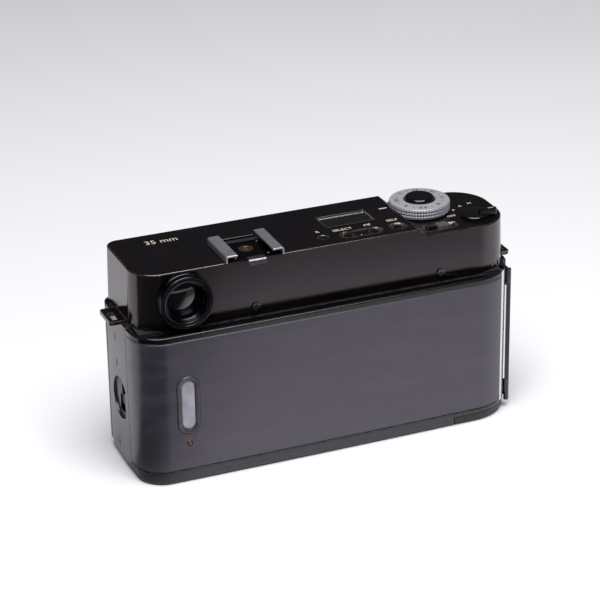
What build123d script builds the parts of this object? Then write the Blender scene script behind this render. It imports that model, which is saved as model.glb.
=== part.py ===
"""Compact autofocus film camera, built from its separate pieces.

Frame: origin on the tripod socket's mouth in the middle of the base. +Z is up, the lens looks along
-Y, the film door is on the +Y side, and the film cartridge and eyepiece are at the +X end.
All sizes are in millimetres. Each piece is written to parts/NODE.step.
"""
import math
import os

from build123d import *

# ---------------------------------------------------------------- overall sizes
COVER_WIDTH = 136.9          # top cover, across its top face
COVER_TOP = 74.3             # top face of the top cover above the base
FRONT_Y = -20.25             # front face of body and top cover
COVER_BACK = 13.5            # back edge of the top cover's top face
DOOR_BACK = 20.6             # back face of the film door at the cartridge end
DECK_Z = 54.7                # seam between the body and the top cover
BASE_HEIGHT = 3.9            # height of the base's side wall

# ---------------------------------------------------------------- outline details
COVER_DRAFT = 1.4            # degrees, walls of the top cover
COVER_RADII = (12.8, 4.3, 9.2, 13.0)    # front -X, front +X, back +X, back -X
BODY_RADII = (12.8, 6.0, 10.3, 17.0)
PLUS_OVERHANG = 1.9          # body past the top cover at the cartridge end
MINUS_OVERHANG = 0.3         # body past the top cover at the hinge end
END_CROWN = 0.8              # bulge of the body's ends
BACK_CROWN = 0.45            # bulge of the door's back
BACK_SKEW = 1.0              # how much shallower the door is at the hinge end
STEP_DROP = 2.87             # control deck below the rest of the top face
STEP_FROM_END = 36.0         # top of the step, from the hinge end of the cover
STEP_RUN = 3.4               # length of the step's ramp

# ---------------------------------------------------------------- walls and clearances
COVER_WALL = 1.2
COVER_EDGE = 0.45            # rounding of the top cover's upper rim
DOOR_EDGE = 0.5              # rounding of the door's outer rims
PLATE_WALL = 1.2             # front cover and side plates
DOOR_WALL = 1.2
SKIN = 0.55                  # panel let into the door
GAP = 0.25                   # between pieces that move past each other
SEAM = 0.12                  # between fixed pieces
RUN = 0.04                   # radial clearance of a running fit

# ---------------------------------------------------------------- film path
FILM_PLANE = 15.0            # y of the film rails
FILM_Z = 29.6                # centre line of the film and lens axis
LENS_X = 10.0
GATE_W = 36.0
GATE_H = 24.0
CARTRIDGE_FROM_END = 18.0    # chamber axis from the cartridge end
CARTRIDGE_R = 12.8
CARTRIDGE_H = 47.4
CARTRIDGE_Y = 5.0
TAKEUP_X_FROM_LENS = 44.4
TAKEUP_R = 12.2
TAKEUP_H = 43.0
TAKEUP_Y = 4.5
SPOOL_R = 7.5
SPROCKET_FROM_GATE = 6.9
SPROCKET_R = 4.54
BATTERY_R = 8.7              # a twin lithium pack, 17 by 34 by 45 mm
BATTERY_SPAN = 17.2          # between the pack's two cell axes
BATTERY_TOP = 50.5
BATTERY_FROM_END = 12.3
BATTERY_FRONT_Y = -9.0

# ---------------------------------------------------------------- lens
BARREL_R = 24.1
HOOD_R = BARREL_R + 1.4
LENS_FRONT = -43.9
FILTER_R = 22.5              # 46 mm filter thread, at its crest
FILTER_DEPTH = 3.2
FOCUS_R = BARREL_R - 0.9
APERTURE_R = 6.0
SHUTTER_Y = -22.5
BLADE_T = 0.2
BLADE_PIVOT = 11.0

# ---------------------------------------------------------------- controls
SHOE_X = 27.1
SHOE_Y = 5.5
SHOE_LENGTH = 18.0
SHOE_OUTER = 20.6
SHOE_SLOT = 18.7
SHOE_LIP = 12.6
SHOE_TOP = COVER_TOP + 2.7
DIAL_FROM_END = 25.5
DIAL_Y = -8.4
DIAL_R = 10.7
DIAL_TOP = COVER_TOP + 1.6
RELEASE_R = 5.2
SWITCH_FROM_END = 10.4
SWITCH_Y = 4.0
SWITCH_R = 5.0
EYE_FROM_END = 15.8
EYE_Z = COVER_TOP - 9.6
EYE_R = 9.4
EYE_BACK = COVER_BACK + 5.0
EYE_LENS_R = EYE_R - 3.2
LCD_X = -13.7
LCD_Y = -5.6
LCD_W = 17.6
LCD_D = 9.4
BUTTON_R = 1.5
TRIPOD_R = 3.175
TRIPOD_DEPTH = 5.5
MODULE = 0.5                 # gear tooth module

# ---------------------------------------------------------------- worked out
HALF = COVER_WIDTH / 2
PLUS_END = HALF + PLUS_OVERHANG
MINUS_END = -HALF - MINUS_OVERHANG
LOW_DECK = COVER_TOP - STEP_DROP
CARTRIDGE_X = PLUS_END - CARTRIDGE_FROM_END
TAKEUP_X = LENS_X - TAKEUP_X_FROM_LENS
SPROCKET_X = LENS_X - GATE_W / 2 - SPROCKET_FROM_GATE
BATTERY_X = MINUS_END + BATTERY_FROM_END
DIAL_X = -HALF + DIAL_FROM_END
SWITCH_X = -HALF + SWITCH_FROM_END
EYE_X = HALF - EYE_FROM_END
HINGE_X = MINUS_END + 1.25
HINGE_Y = DOOR_BACK - 7.9
DOOR_SEAM_Y = COVER_BACK - 6.0
CHASSIS_FLOOR = BASE_HEIGHT + SEAM
CHASSIS_TOP = DECK_Z - 0.3
GEAR_Z = DECK_Z + 0.6

# ---------------------------------------------------------------- controls, worked out
SLIDER_X = DIAL_X - 0.3
SLIDER_Y = COVER_BACK - 5.8
MODE_X = LCD_X - 0.3
MODE_Y = COVER_BACK - 5.85
SELECT_X = MODE_X + 4.8
MF_X = MODE_X - 4.7
SELF_X = MODE_X - 13.5
REWIND_X = SHOE_X - 27.6
REWIND_Y = COVER_BACK - 7.1

# ---------------------------------------------------------------- finder and front windows
VIEW_W = 17.0
VIEW_H = 11.5
AF_X = (LENS_X - 21.0, LENS_X + 25.0)
AF_Z = EYE_Z - 0.2
AF_R = 4.0
METER_X = LENS_X + 2.0
METER_R = 2.0
LAMP_X = LENS_X - 36.0
LAMP_R = 1.8
COVER_SCREW_X = (27.1, -40.8)

# ---------------------------------------------------------------- front, grip and end plates
END_RETURN = FRONT_Y + 6.5     # where the front cover's returns end
GRIP_PROUD = 4.6
GRIP_HALF = 14.0
GRIP_X = MINUS_END + 20.0
DISH_Y = -1.2
DISH_Z = 25.2
DISH_R = 7.4
SIDE_SCREW_Y = -3.5
SIDE_SCREW_Z = (BASE_HEIGHT + 4.0, DECK_Z - 7.5)

# ---------------------------------------------------------------- base and battery lid
PLATE_PLUS = 45.9
PLATE_MINUS = -44.0
PLATE_H = 2.45
LID_H = 3.1
BASE_INSET = 0.7
BASE_SCREWS = ((-38.0, -12.0), (38.0, -12.0), (-38.0, 12.0), (38.0, 12.0))
LID_HINGE_X = PLATE_MINUS - GAP - 0.7
LID_HINGE_Z = 0.7

# ---------------------------------------------------------------- strap lugs
LUG_Y = -1.8
LUG_D = 11.6
LUG_REACH = {1: 4.7, -1: 3.4}   # past the body's end, at each end
LUG_RIM = 1.6
LUG_SLOT = 1.5

# ---------------------------------------------------------------- film door and its hinge
HINGE_R = 0.88
HINGE_LEAF = 4.9              # reach of the body leaf in front of the pin
DOOR_FLANGE = 1.3             # thickness of the door's top and bottom flanges
DOOR_LIP = 0.9                # width of the raised lip round the door's top
LEDGE_DROP = 1.1              # the cover's skirt and the ledge behind the lip lie this far below the seam
SKIRT_Y = DOOR_SEAM_Y + 0.6   # the skirt runs from here round the back
HINGE_PIN_R = 0.42
KNUCKLES = (BASE_HEIGHT - 1.2, 11.0, 47.8, 53.4)   # ends of the barrel's three lengths
LEAF_Z0 = BASE_HEIGHT + 0.2
DOOR_END_X = HINGE_X + 1.9
PANEL_END_X = HINGE_X + 4.8   # hinge end of the panel
PANEL_CORNERS = (2.6, 0.8)    # bottom and top corners of the panel's hinge end
PANEL_Z0 = BASE_HEIGHT + 1.1
PANEL_Z1 = DECK_Z - 2.05
WINDOW_X = CARTRIDGE_X + 2.0
WINDOW_Z = 29.0
RIVET_R = 0.9
DOOR_FACE = DOOR_BACK + 0.1    # back surface of the door beside the film window

# ---------------------------------------------------------------- film transport
FORK_SHAFT_R = 2.0
NECK_R = 5.0
MOTOR_SHAFT_R = 1.0
MOTOR_R = 5.6
PINION_TEETH = 10
IDLER_TEETH = 35
IDLER_SMALL = 15
IDLER_BORE = 0.8
SPOOL_TEETH = 30
IDLER_TURN = -35.0            # direction of the idler from the spool's axis, degrees
IDLER_REACH = MODULE * (PINION_TEETH + IDLER_TEETH) / 2
IDLER_X = TAKEUP_X + IDLER_REACH * math.cos(math.radians(IDLER_TURN))
IDLER_Y = TAKEUP_Y + IDLER_REACH * math.sin(math.radians(IDLER_TURN))
FORK_TEETH = 24
REWIND_MOTOR_X = CARTRIDGE_X - MODULE * (PINION_TEETH + FORK_TEETH) / 2


def box(x0, x1, y0, y1, z0, z1):
    """Axis-aligned block from its limits."""
    return Pos((x0 + x1) / 2, (y0 + y1) / 2, (z0 + z1) / 2) * Box(x1 - x0, y1 - y0, z1 - z0)


def rod_z(x, y, z0, z1, r):
    """Upright cylinder."""
    return Pos(x, y, (z0 + z1) / 2) * Cylinder(r, z1 - z0)


def rod_y(x, z, y0, y1, r):
    """Cylinder along Y."""
    return Pos(x, (y0 + y1) / 2, z) * Rot(90, 0, 0) * Cylinder(r, y1 - y0)


def rod_x(y, z, x0, x1, r):
    """Cylinder along X."""
    return Pos((x0 + x1) / 2, y, z) * Rot(0, 90, 0) * Cylinder(r, x1 - x0)


def outline(x0, x1, y0, y1, radii, end_crown=0.0, back_crown=0.0, skew=0.0):
    """Plan outline with four corner radii and gently bulged ends and back."""
    corners = [(x0, y0), (x1, y0), (x1, y1), (x0, y1 - skew)]
    mid_y = (y0 + y1) / 2
    edges = [Line(corners[0], corners[1])]
    if end_crown:
        edges.append(ThreePointArc(corners[1], (x1 + end_crown, mid_y), corners[2]))
        edges.append(ThreePointArc(corners[2], ((x0 + x1) / 2, y1 - skew / 2 + back_crown), corners[3]))
        edges.append(ThreePointArc(corners[3], (x0 - end_crown, mid_y), corners[0]))
    else:
        edges.append(Line(corners[1], corners[2]))
        edges.append(Line(corners[2], corners[3]))
        edges.append(Line(corners[3], corners[0]))
    face = make_face(edges)
    for corner, radius in zip(corners, radii):
        vertex = face.vertices().sort_by_distance(Vector(*corner, 0))[0]
        face = fillet(vertex, radius)
    return face


def body_outline(inset=0.0):
    """Plan of the lower body and door."""
    face = outline(MINUS_END, PLUS_END, FRONT_Y, DOOR_BACK, BODY_RADII, END_CROWN, BACK_CROWN, BACK_SKEW)
    return offset(face, -inset) if inset else face


def slab(face, z0, z1):
    """Extrude a plan face between two heights."""
    return Pos(0, 0, z0) * extrude(face, z1 - z0)


def racetrack(length, width):
    """Flat slot shape with round ends, along X."""
    return SlotOverall(length, width)


def gear_face(teeth, bore):
    """Spur gear profile with relieved flanks, one tooth on +X."""
    pitch_r = MODULE * teeth / 2
    root = pitch_r - 1.15 * MODULE
    tip = pitch_r + 0.8 * MODULE
    step = 2 * math.pi / teeth
    points = []
    for tooth in range(teeth):
        middle = tooth * step
        for radius, share in ((root, -0.31), (pitch_r, -0.2), (tip, -0.09),
                              (tip, 0.09), (pitch_r, 0.2), (root, 0.31)):
            angle = middle + share * step
            points.append((radius * math.cos(angle), radius * math.sin(angle)))
    return make_face(Polyline(*points, close=True)) - Circle(bore)


def gear(teeth, bore, x, y, z0, z1, turn):
    """Gear placed on an upright axis and turned by an angle in degrees."""
    return Pos(x, y, 0) * Rot(0, 0, turn) * slab(gear_face(teeth, bore), z0, z1)


def screw_z(x, y, z_top, r, length):
    """Cross-head screw seen from above."""
    head = rod_z(x, y, z_top - 0.9, z_top, r)
    shank = rod_z(x, y, z_top - length, z_top - 0.9, r * 0.5)
    slot = box(x - r * 0.7, x + r * 0.7, y - 0.2, y + 0.2, z_top - 0.45, z_top)
    cross = box(x - 0.2, x + 0.2, y - r * 0.7, y + r * 0.7, z_top - 0.45, z_top)
    return head + shank - slot - cross


# ---------------------------------------------------------------- top cover
def cover_outline(inset):
    """Plan of the top cover at its seam."""
    grow = (COVER_TOP - DECK_Z) * math.tan(math.radians(COVER_DRAFT)) - inset
    face = outline(-HALF, HALF, FRONT_Y, COVER_BACK, COVER_RADII)
    return offset(face, grow)


def step_wedge(drop, z_top):
    """Block that is cut away to leave the lower control deck with its sloping step."""
    x_top = -HALF + STEP_FROM_END
    low = z_top - drop
    far_x = -HALF - 10
    points = [(x_top, z_top), (x_top - STEP_RUN, low), (far_x, low), (far_x, z_top + 5), (x_top, z_top + 5)]
    face = Plane.XZ * make_face(Polyline(*points, close=True))
    return Pos(0, 40, 0) * extrude(face, 80)


def rim_edges(blank):
    """Edges where the top faces meet the walls, without the two folds of the step."""
    ramp_x = -HALF + STEP_FROM_END - STEP_RUN / 2

    def is_fold(edge):
        direction = edge.tangent_at(0.5)
        return abs(direction.Y) > 0.99 and abs(edge.center().X - ramp_x) < STEP_RUN

    return ShapeList([e for e in blank.edges() if e.center().Z > LOW_DECK - 0.1 and not is_fold(e)])


def skirt(play, z1):
    """Wall below the top cover's seam, round its back; play widens it on both sides."""
    ring = slab(cover_outline(-play), DECK_Z - LEDGE_DROP - play, z1)
    ring -= slab(cover_outline(COVER_WALL + play), 0, 100)
    return ring & box(-200, 200, SKIRT_Y - play, 100, 0, 100)


def top_cover():
    """Drawn cover with the lower control deck and every opening in its top and walls."""
    outer = extrude(cover_outline(0), COVER_TOP - DECK_Z, taper=COVER_DRAFT)
    inner = extrude(cover_outline(COVER_WALL), COVER_TOP - COVER_WALL - DECK_Z, taper=COVER_DRAFT)
    outer = Pos(0, 0, DECK_Z) * outer - step_wedge(STEP_DROP, COVER_TOP)
    outer = fillet(rim_edges(outer), COVER_EDGE)
    inner = Pos(0, 0, DECK_Z) * inner - step_wedge(STEP_DROP, COVER_TOP - COVER_WALL)
    cover = outer - inner + skirt(0, DECK_Z + 0.05)
    cover -= rod_y(EYE_X, EYE_Z, COVER_BACK - 4, COVER_BACK + 4, EYE_R - 1.6 + SEAM)
    cover -= Pos(LCD_X, LCD_Y, COVER_TOP - 1) * Box(LCD_W, LCD_D, 4)
    cover -= rod_z(DIAL_X, DIAL_Y, LOW_DECK - 3, LOW_DECK + 1, 6.4 + GAP)
    cover -= rod_z(DIAL_X, DIAL_Y, LOW_DECK, COVER_TOP + 1, DIAL_R + GAP)
    cover -= rod_z(SHOE_X, SHOE_Y, COVER_TOP - 3, COVER_TOP + 1, 2.5)
    cover -= rod_z(SWITCH_X, SWITCH_Y, LOW_DECK - 3, LOW_DECK + 1, 2.0 + GAP)
    for x, y in ((SELECT_X, MODE_Y), (MF_X, MODE_Y), (SELF_X, MODE_Y), (REWIND_X, REWIND_Y)):
        cover -= rod_z(x, y, COVER_TOP - 3, COVER_TOP + 1, BUTTON_R + GAP)
    cover -= Pos(MODE_X, MODE_Y, COVER_TOP - 0.4) * extrude(racetrack(15.2, 5.2), 2)
    cover -= rod_z(SELF_X, MODE_Y, COVER_TOP - 0.4, COVER_TOP + 1, 2.8)
    cover -= Pos(SLIDER_X, SLIDER_Y, LOW_DECK - 0.6) * extrude(racetrack(13.0, 4.6), 2)
    cover -= box(SLIDER_X - 4, SLIDER_X + 4, SLIDER_Y - 0.8, SLIDER_Y + 0.8, LOW_DECK - 3, LOW_DECK + 1)
    cover -= Pos(EYE_X, FRONT_Y + 0.5, EYE_Z) * Box(VIEW_W, 5, VIEW_H)
    for x, r in ((AF_X[0], AF_R), (AF_X[1], AF_R), (METER_X, METER_R), (LAMP_X, LAMP_R)):
        cover -= rod_y(x, AF_Z, FRONT_Y - 2, FRONT_Y + 3, r + SEAM)
    for x in COVER_SCREW_X:
        cover -= rod_y(x, DECK_Z + 2.4, COVER_BACK - 3, COVER_BACK + 2, 0.85 + SEAM)
    return cover + release_collar()


def cover_screws():
    """Two screws in the cover's back wall."""
    shapes = []
    face_y = COVER_BACK + 0.05 + (COVER_TOP - DECK_Z - 2.4) * math.tan(math.radians(COVER_DRAFT))
    for x in COVER_SCREW_X:
        head = rod_y(x, DECK_Z + 2.4, face_y, face_y + 0.45, 1.5)
        head += rod_y(x, DECK_Z + 2.4, face_y - 2.0, face_y, 0.8)
        head -= box(x - 1.1, x + 1.1, face_y + 0.2, face_y + 1, DECK_Z + 2.2, DECK_Z + 2.6)
        head -= box(x - 0.2, x + 0.2, face_y + 0.2, face_y + 1, DECK_Z + 1.3, DECK_Z + 3.5)
        shapes.append(head)
    return shapes


def eyepiece_ring():
    """Eyepiece barrel with a spigot into the cover and a coned mouth."""
    y0 = COVER_BACK + 0.55
    ring = rod_y(EYE_X, EYE_Z, y0, EYE_BACK, EYE_R)
    ring += rod_y(EYE_X, EYE_Z, COVER_BACK - 1.4, y0, EYE_R - 1.6)
    ring -= rod_y(EYE_X, EYE_Z, COVER_BACK - 4, EYE_BACK + 1, EYE_LENS_R)
    mouth = Cone(EYE_R - 2.0, EYE_LENS_R, 2.4, align=(Align.CENTER, Align.CENTER, Align.MIN))
    ring -= Pos(EYE_X, EYE_BACK, EYE_Z) * Rot(90, 0, 0) * mouth
    rim = ring.edges().filter_by(GeomType.CIRCLE).group_by(Axis.Y)[-1].sort_by(SortBy.RADIUS)[-1]
    return chamfer(rim, 0.6)


def group(shapes):
    """Separate solids kept in one node."""
    return Compound([solid for shape in shapes for solid in shape.solids()])


def disc_lens(x, z, y0, y1, r, bulge):
    """Glass element along Y: flat towards +Y, domed towards -Y by the bulge."""
    middle = r * 0.7
    sag = bulge * (1 - 0.7 ** 2)
    dome = ThreePointArc((0, y0 - bulge), (middle, y0 - sag), (r, y0))
    profile = make_face([dome, Line((r, y0), (r, y1)), Line((r, y1), (0, y1)), Line((0, y1), (0, y0 - bulge))])
    return Pos(x, 0, z) * revolve(profile, Axis.Y)


def eyepiece_lens():
    return disc_lens(EYE_X, EYE_Z, COVER_BACK - 1.4, COVER_BACK + 0.4, EYE_LENS_R - 0.02, 0.8)


def finder_block():
    """Moulded finder tunnel with its objective window seat at the front."""
    block = box(EYE_X - 4.2, EYE_X + 7.2, FRONT_Y + 6.5, COVER_BACK - 3.2, EYE_Z - 6.4, EYE_Z + 6.8)
    block += box(EYE_X - VIEW_W / 2 + 0.4, EYE_X + VIEW_W / 2 - 0.4, FRONT_Y + 2.6, FRONT_Y + 6.5,
                 EYE_Z - VIEW_H / 2 + 0.3, EYE_Z + VIEW_H / 2 - 0.3)
    block -= box(EYE_X - 3.2, EYE_X + 6.2, FRONT_Y + 4.0, COVER_BACK - 4.2, EYE_Z - 4.6, EYE_Z + 4.8)
    block -= box(EYE_X - VIEW_W / 2 + 1.4, EYE_X + VIEW_W / 2 - 1.4, FRONT_Y + 2, FRONT_Y + 5.5,
                 EYE_Z - VIEW_H / 2 + 1.3, EYE_Z + VIEW_H / 2 - 1.3)
    return block - rod_y(EYE_X, EYE_Z, COVER_BACK - 6, COVER_BACK, 3.0)


def finder_window():
    y0 = FRONT_Y + 0.15
    pane = box(EYE_X - VIEW_W / 2 + SEAM, EYE_X + VIEW_W / 2 - SEAM, y0, y0 + 1.6,
               EYE_Z - VIEW_H / 2 + SEAM, EYE_Z + VIEW_H / 2 - SEAM)
    return pane


def front_windows():
    """Two rangefinder lenses, the light meter's cell and the self-timer lamp."""
    shapes = [disc_lens(x, AF_Z, FRONT_Y + 1.0, FRONT_Y + 3.2, AF_R, 0.5) for x in AF_X]
    shapes.append(disc_lens(METER_X, AF_Z, FRONT_Y + 0.9, FRONT_Y + 3.0, METER_R, 0.4))
    shapes.append(disc_lens(LAMP_X, AF_Z, FRONT_Y + 0.7, FRONT_Y + 3.0, LAMP_R, 0.5))
    return group(shapes)


def lcd_window():
    return box(LCD_X - LCD_W / 2 + SEAM, LCD_X + LCD_W / 2 - SEAM, LCD_Y - LCD_D / 2 + SEAM,
               LCD_Y + LCD_D / 2 - SEAM, COVER_TOP - 1.3, COVER_TOP - 0.5)


def main_board():
    """Circuit board with its chips and the display module standing on it."""
    z1 = DECK_Z + 6.2
    board = box(TAKEUP_X + 24, REWIND_MOTOR_X - 6, FRONT_Y + 4.5, COVER_BACK - 3, z1 - 1.2, z1)
    for x in (LENS_X - 16, LENS_X - 2, LENS_X + 11):
        board += box(x, x + 9, -6, 3, z1, z1 + 1.2)
    return board + box(LCD_X - 6, LCD_X + 4, LCD_Y - 3, LCD_Y + 3, z1, COVER_TOP - 1.45) + display_module()


def display_module():
    return box(LCD_X - LCD_W / 2 - 1.2, LCD_X + LCD_W / 2 + 1.2, LCD_Y - LCD_D / 2 - 1.0,
               LCD_Y + LCD_D / 2 + 0.6, COVER_TOP - 4.4, COVER_TOP - 1.45)


# ---------------------------------------------------------------- accessory shoe
def hot_shoe():
    """Folded sheet rails: floor, two walls and two lips turned inwards."""
    z0 = COVER_TOP
    x0, x1 = SHOE_X - SHOE_OUTER / 2, SHOE_X + SHOE_OUTER / 2
    y0, y1 = SHOE_Y - SHOE_LENGTH / 2, SHOE_Y + SHOE_LENGTH / 2
    shoe = box(x0, x1, y0, y1, z0, SHOE_TOP)
    shoe -= box(SHOE_X - SHOE_SLOT / 2, SHOE_X + SHOE_SLOT / 2, y0 + 0.9, y1 + 1, z0 + 0.35, SHOE_TOP - 0.75)
    shoe -= box(SHOE_X - SHOE_LIP / 2, SHOE_X + SHOE_LIP / 2, y0 + 0.9, y1 + 1, z0 + 0.35, SHOE_TOP + 1)
    shoe -= box(SHOE_X - SHOE_LIP / 2, SHOE_X + SHOE_LIP / 2, y0 - 1, y0 + 1, z0 + 1.2, SHOE_TOP + 1)
    return shoe - rod_z(SHOE_X, SHOE_Y, z0 - 1, z0 + 1, 2.6)


def shoe_spring():
    """Thin leaf that presses an accessory foot up against the lips."""
    z0 = COVER_TOP + 0.35
    leaf = None
    for side in (-1, 1):
        x0 = SHOE_X + side * 8.0
        arm = box(x0 - 1.2, x0 + 1.2, SHOE_Y - 7.6, SHOE_Y + 8.2, z0, z0 + 0.25)
        leaf = arm if leaf is None else leaf + arm
    bridge = box(SHOE_X - 8.0, SHOE_X + 8.0, SHOE_Y - 7.6, SHOE_Y - 5.6, z0, z0 + 0.25)
    return leaf + bridge


def shoe_contact():
    """Insulator and centre contact of the accessory shoe."""
    z0 = COVER_TOP
    return rod_z(SHOE_X, SHOE_Y, z0 - 1.0, z0 + 0.62, 2.5)


# ---------------------------------------------------------------- controls on top
def shutter_button():
    """Domed release on a stem, standing in the dial's bore."""
    stem = rod_z(DIAL_X, DIAL_Y, LOW_DECK - 4.5, DIAL_TOP - 1.0, 3.4)
    cap = rod_z(DIAL_X, DIAL_Y, DIAL_TOP - 1.0, DIAL_TOP + 0.4, RELEASE_R)
    dome_r = (RELEASE_R ** 2 + 1.2 ** 2) / 2.4
    dome = (Pos(DIAL_X, DIAL_Y, DIAL_TOP + 1.6 - dome_r) * Sphere(dome_r)) & rod_z(
        DIAL_X, DIAL_Y, DIAL_TOP + 0.4, DIAL_TOP + 2, RELEASE_R)
    return stem + cap + dome


def release_collar():
    """Fixed sleeve between the dial and the release, on a bridge under the control deck."""
    collar = rod_z(DIAL_X, DIAL_Y, LOW_DECK - 4.2, DIAL_TOP - 2.2, 4.5)
    collar += rod_z(DIAL_X, DIAL_Y, LOW_DECK - 4.2, LOW_DECK - 3.2, 9.0)
    collar += rod_z(DIAL_X, DIAL_Y, LOW_DECK - 4.2, LOW_DECK - COVER_WALL, 9.0) - rod_z(
        DIAL_X, DIAL_Y, LOW_DECK - 5, LOW_DECK, 7.6)
    return collar - rod_z(DIAL_X, DIAL_Y, LOW_DECK - 5, DIAL_TOP, 3.4 + RUN)


def aperture_dial():
    z0 = LOW_DECK + 0.5
    dial = rod_z(DIAL_X, DIAL_Y, z0, DIAL_TOP, DIAL_R)
    dial += rod_z(DIAL_X, DIAL_Y, LOW_DECK - 2.6, z0, 6.4)
    dial = chamfer(dial.edges().filter_by(GeomType.CIRCLE).group_by(Axis.Z)[-1], 1.3)
    dial -= rod_z(DIAL_X, DIAL_Y, LOW_DECK - 4, DIAL_TOP + 1, 4.5 + RUN)
    dial -= rod_z(DIAL_X, DIAL_Y, DIAL_TOP - 2.0, DIAL_TOP + 1, RELEASE_R + 0.45)
    for turn in range(36):
        groove = Pos(DIAL_X, DIAL_Y, 0) * Rot(0, 0, turn * 10) * rod_z(DIAL_R + 0.15, 0, z0 - 1, DIAL_TOP - 1.4, 0.4)
        dial -= groove
    return dial


def main_switch():
    disc = rod_z(SWITCH_X, SWITCH_Y, LOW_DECK + 0.15, LOW_DECK + 1.5, SWITCH_R)
    stem = rod_z(SWITCH_X, SWITCH_Y, LOW_DECK - 3.0, LOW_DECK + 0.2, 2.0)
    lever = box(SWITCH_X - 7.6, SWITCH_X - 1.2, SWITCH_Y + 0.6, SWITCH_Y + 3.2, LOW_DECK + 0.4, LOW_DECK + 2.9)
    return disc + stem + fillet(lever.edges().filter_by(Axis.Z), 0.8)


def updown_slider():
    """Ribbed knob with a shank through the deck's slot."""
    x0 = SLIDER_X - 1.7
    knob = box(x0, x0 + 3.8, SLIDER_Y - 1.5, SLIDER_Y + 1.5, LOW_DECK - 0.3, LOW_DECK + 1.3)
    for rib in range(3):
        knob -= box(x0 + 0.7 + rib, x0 + 1.1 + rib, SLIDER_Y - 2, SLIDER_Y + 2, LOW_DECK + 0.9, LOW_DECK + 2)
    knob += box(x0 + 1.0, x0 + 2.8, SLIDER_Y - 0.5, SLIDER_Y + 0.5, LOW_DECK - 3.0, LOW_DECK - 0.3)
    return knob


def push_button(x, y, z_deck):
    """Small round key whose flange sits under the top cover."""
    key = rod_z(x, y, z_deck - 2.4, z_deck - 0.05, BUTTON_R)
    key += rod_z(x, y, z_deck - 3.2, z_deck - 2.4, BUTTON_R + 0.7)
    return fillet(key.edges().filter_by(GeomType.CIRCLE).group_by(Axis.Z)[-1], 0.3)


# ---------------------------------------------------------------- lower body
def shell(inset, wall, z0, z1):
    """Upright wall that follows the body outline."""
    return slab(body_outline(inset), z0, z1) - slab(body_outline(inset + wall), z0 - 1, z1 + 1)


def front_cover():
    """Front wall with its two returns round the corners and the lens opening."""
    z0, z1 = BASE_HEIGHT + SEAM, DECK_Z - SEAM
    cover = shell(0, PLATE_WALL, z0, z1) & box(-200, 200, FRONT_Y - 1, END_RETURN, z0, z1)
    cover -= rod_y(LENS_X, FILM_Z, FRONT_Y - 2, FRONT_Y + 3, BARREL_R + 0.2)
    return cover


def grip():
    """Raised finger rest on the front, at the release end, under the covering."""
    z0, z1 = BASE_HEIGHT + 2.0, DECK_Z - 4.0
    profile = RectangleRounded(2 * GRIP_HALF, z1 - z0, 5)
    block = Pos(GRIP_X, FRONT_Y, (z0 + z1) / 2) * Rot(90, 0, 0) * extrude(profile, GRIP_PROUD)
    block = fillet(block.faces().sort_by(Axis.Y)[0].edges(), 2.6)
    return block


def side_plate_plus():
    """End plate at the cartridge end, with a finger dish for the door release."""
    z0, z1 = BASE_HEIGHT + SEAM, DECK_Z - SEAM
    plate = shell(0, PLATE_WALL, z0, z1) & box(0, 200, END_RETURN + SEAM, DOOR_SEAM_Y - GAP, z0, z1)
    dish = rod_x(DISH_Y, DISH_Z, PLUS_END - 8, PLUS_END + 5, DISH_R)
    slot = box(PLUS_END - 8, PLUS_END + 5, DISH_Y - 2.4, DISH_Y + 2.4, DISH_Z - 5.4, DISH_Z + 7.4)
    plate -= dish & box(PLUS_END + END_CROWN - 0.9, 200, -50, 50, 0, 80)
    plate -= slot
    for z in SIDE_SCREW_Z:
        plate -= rod_x(SIDE_SCREW_Y, z, PLUS_END - 4, PLUS_END + 4, 0.8 + SEAM)
        plate -= rod_x(SIDE_SCREW_Y, z, PLUS_END + END_CROWN - 0.5, PLUS_END + 4, 1.4 + SEAM)
    return plate


def side_plate_minus():
    """End plate at the hinge end."""
    z0, z1 = BASE_HEIGHT + SEAM, DECK_Z - SEAM
    return shell(0, PLATE_WALL, z0, z1) & box(-200, 0, END_RETURN + SEAM, HINGE_Y - HINGE_LEAF - SEAM, z0, z1)


def side_screws():
    """Two screws sunk into the end plate."""
    x1 = PLUS_END + END_CROWN - 0.1
    shapes = []
    for z in SIDE_SCREW_Z:
        screw = rod_x(SIDE_SCREW_Y, z, x1 - 0.4, x1, 1.4) + rod_x(SIDE_SCREW_Y, z, x1 - 1.3, x1 - 0.4, 0.8)
        screw -= box(x1 - 0.2, x1 + 1, SIDE_SCREW_Y - 0.2, SIDE_SCREW_Y + 0.2, z - 1, z + 1)
        shapes.append(screw)
    return shapes


def stadium_prism(x, y0, span, r, z0, z1):
    """Upright slot-shaped prism with its long side along Y."""
    face = Pos(x, y0 + span / 2) * Rot(0, 0, 90) * SlotCenterToCenter(span, r * 2)
    return slab(face, z0, z1)


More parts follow.
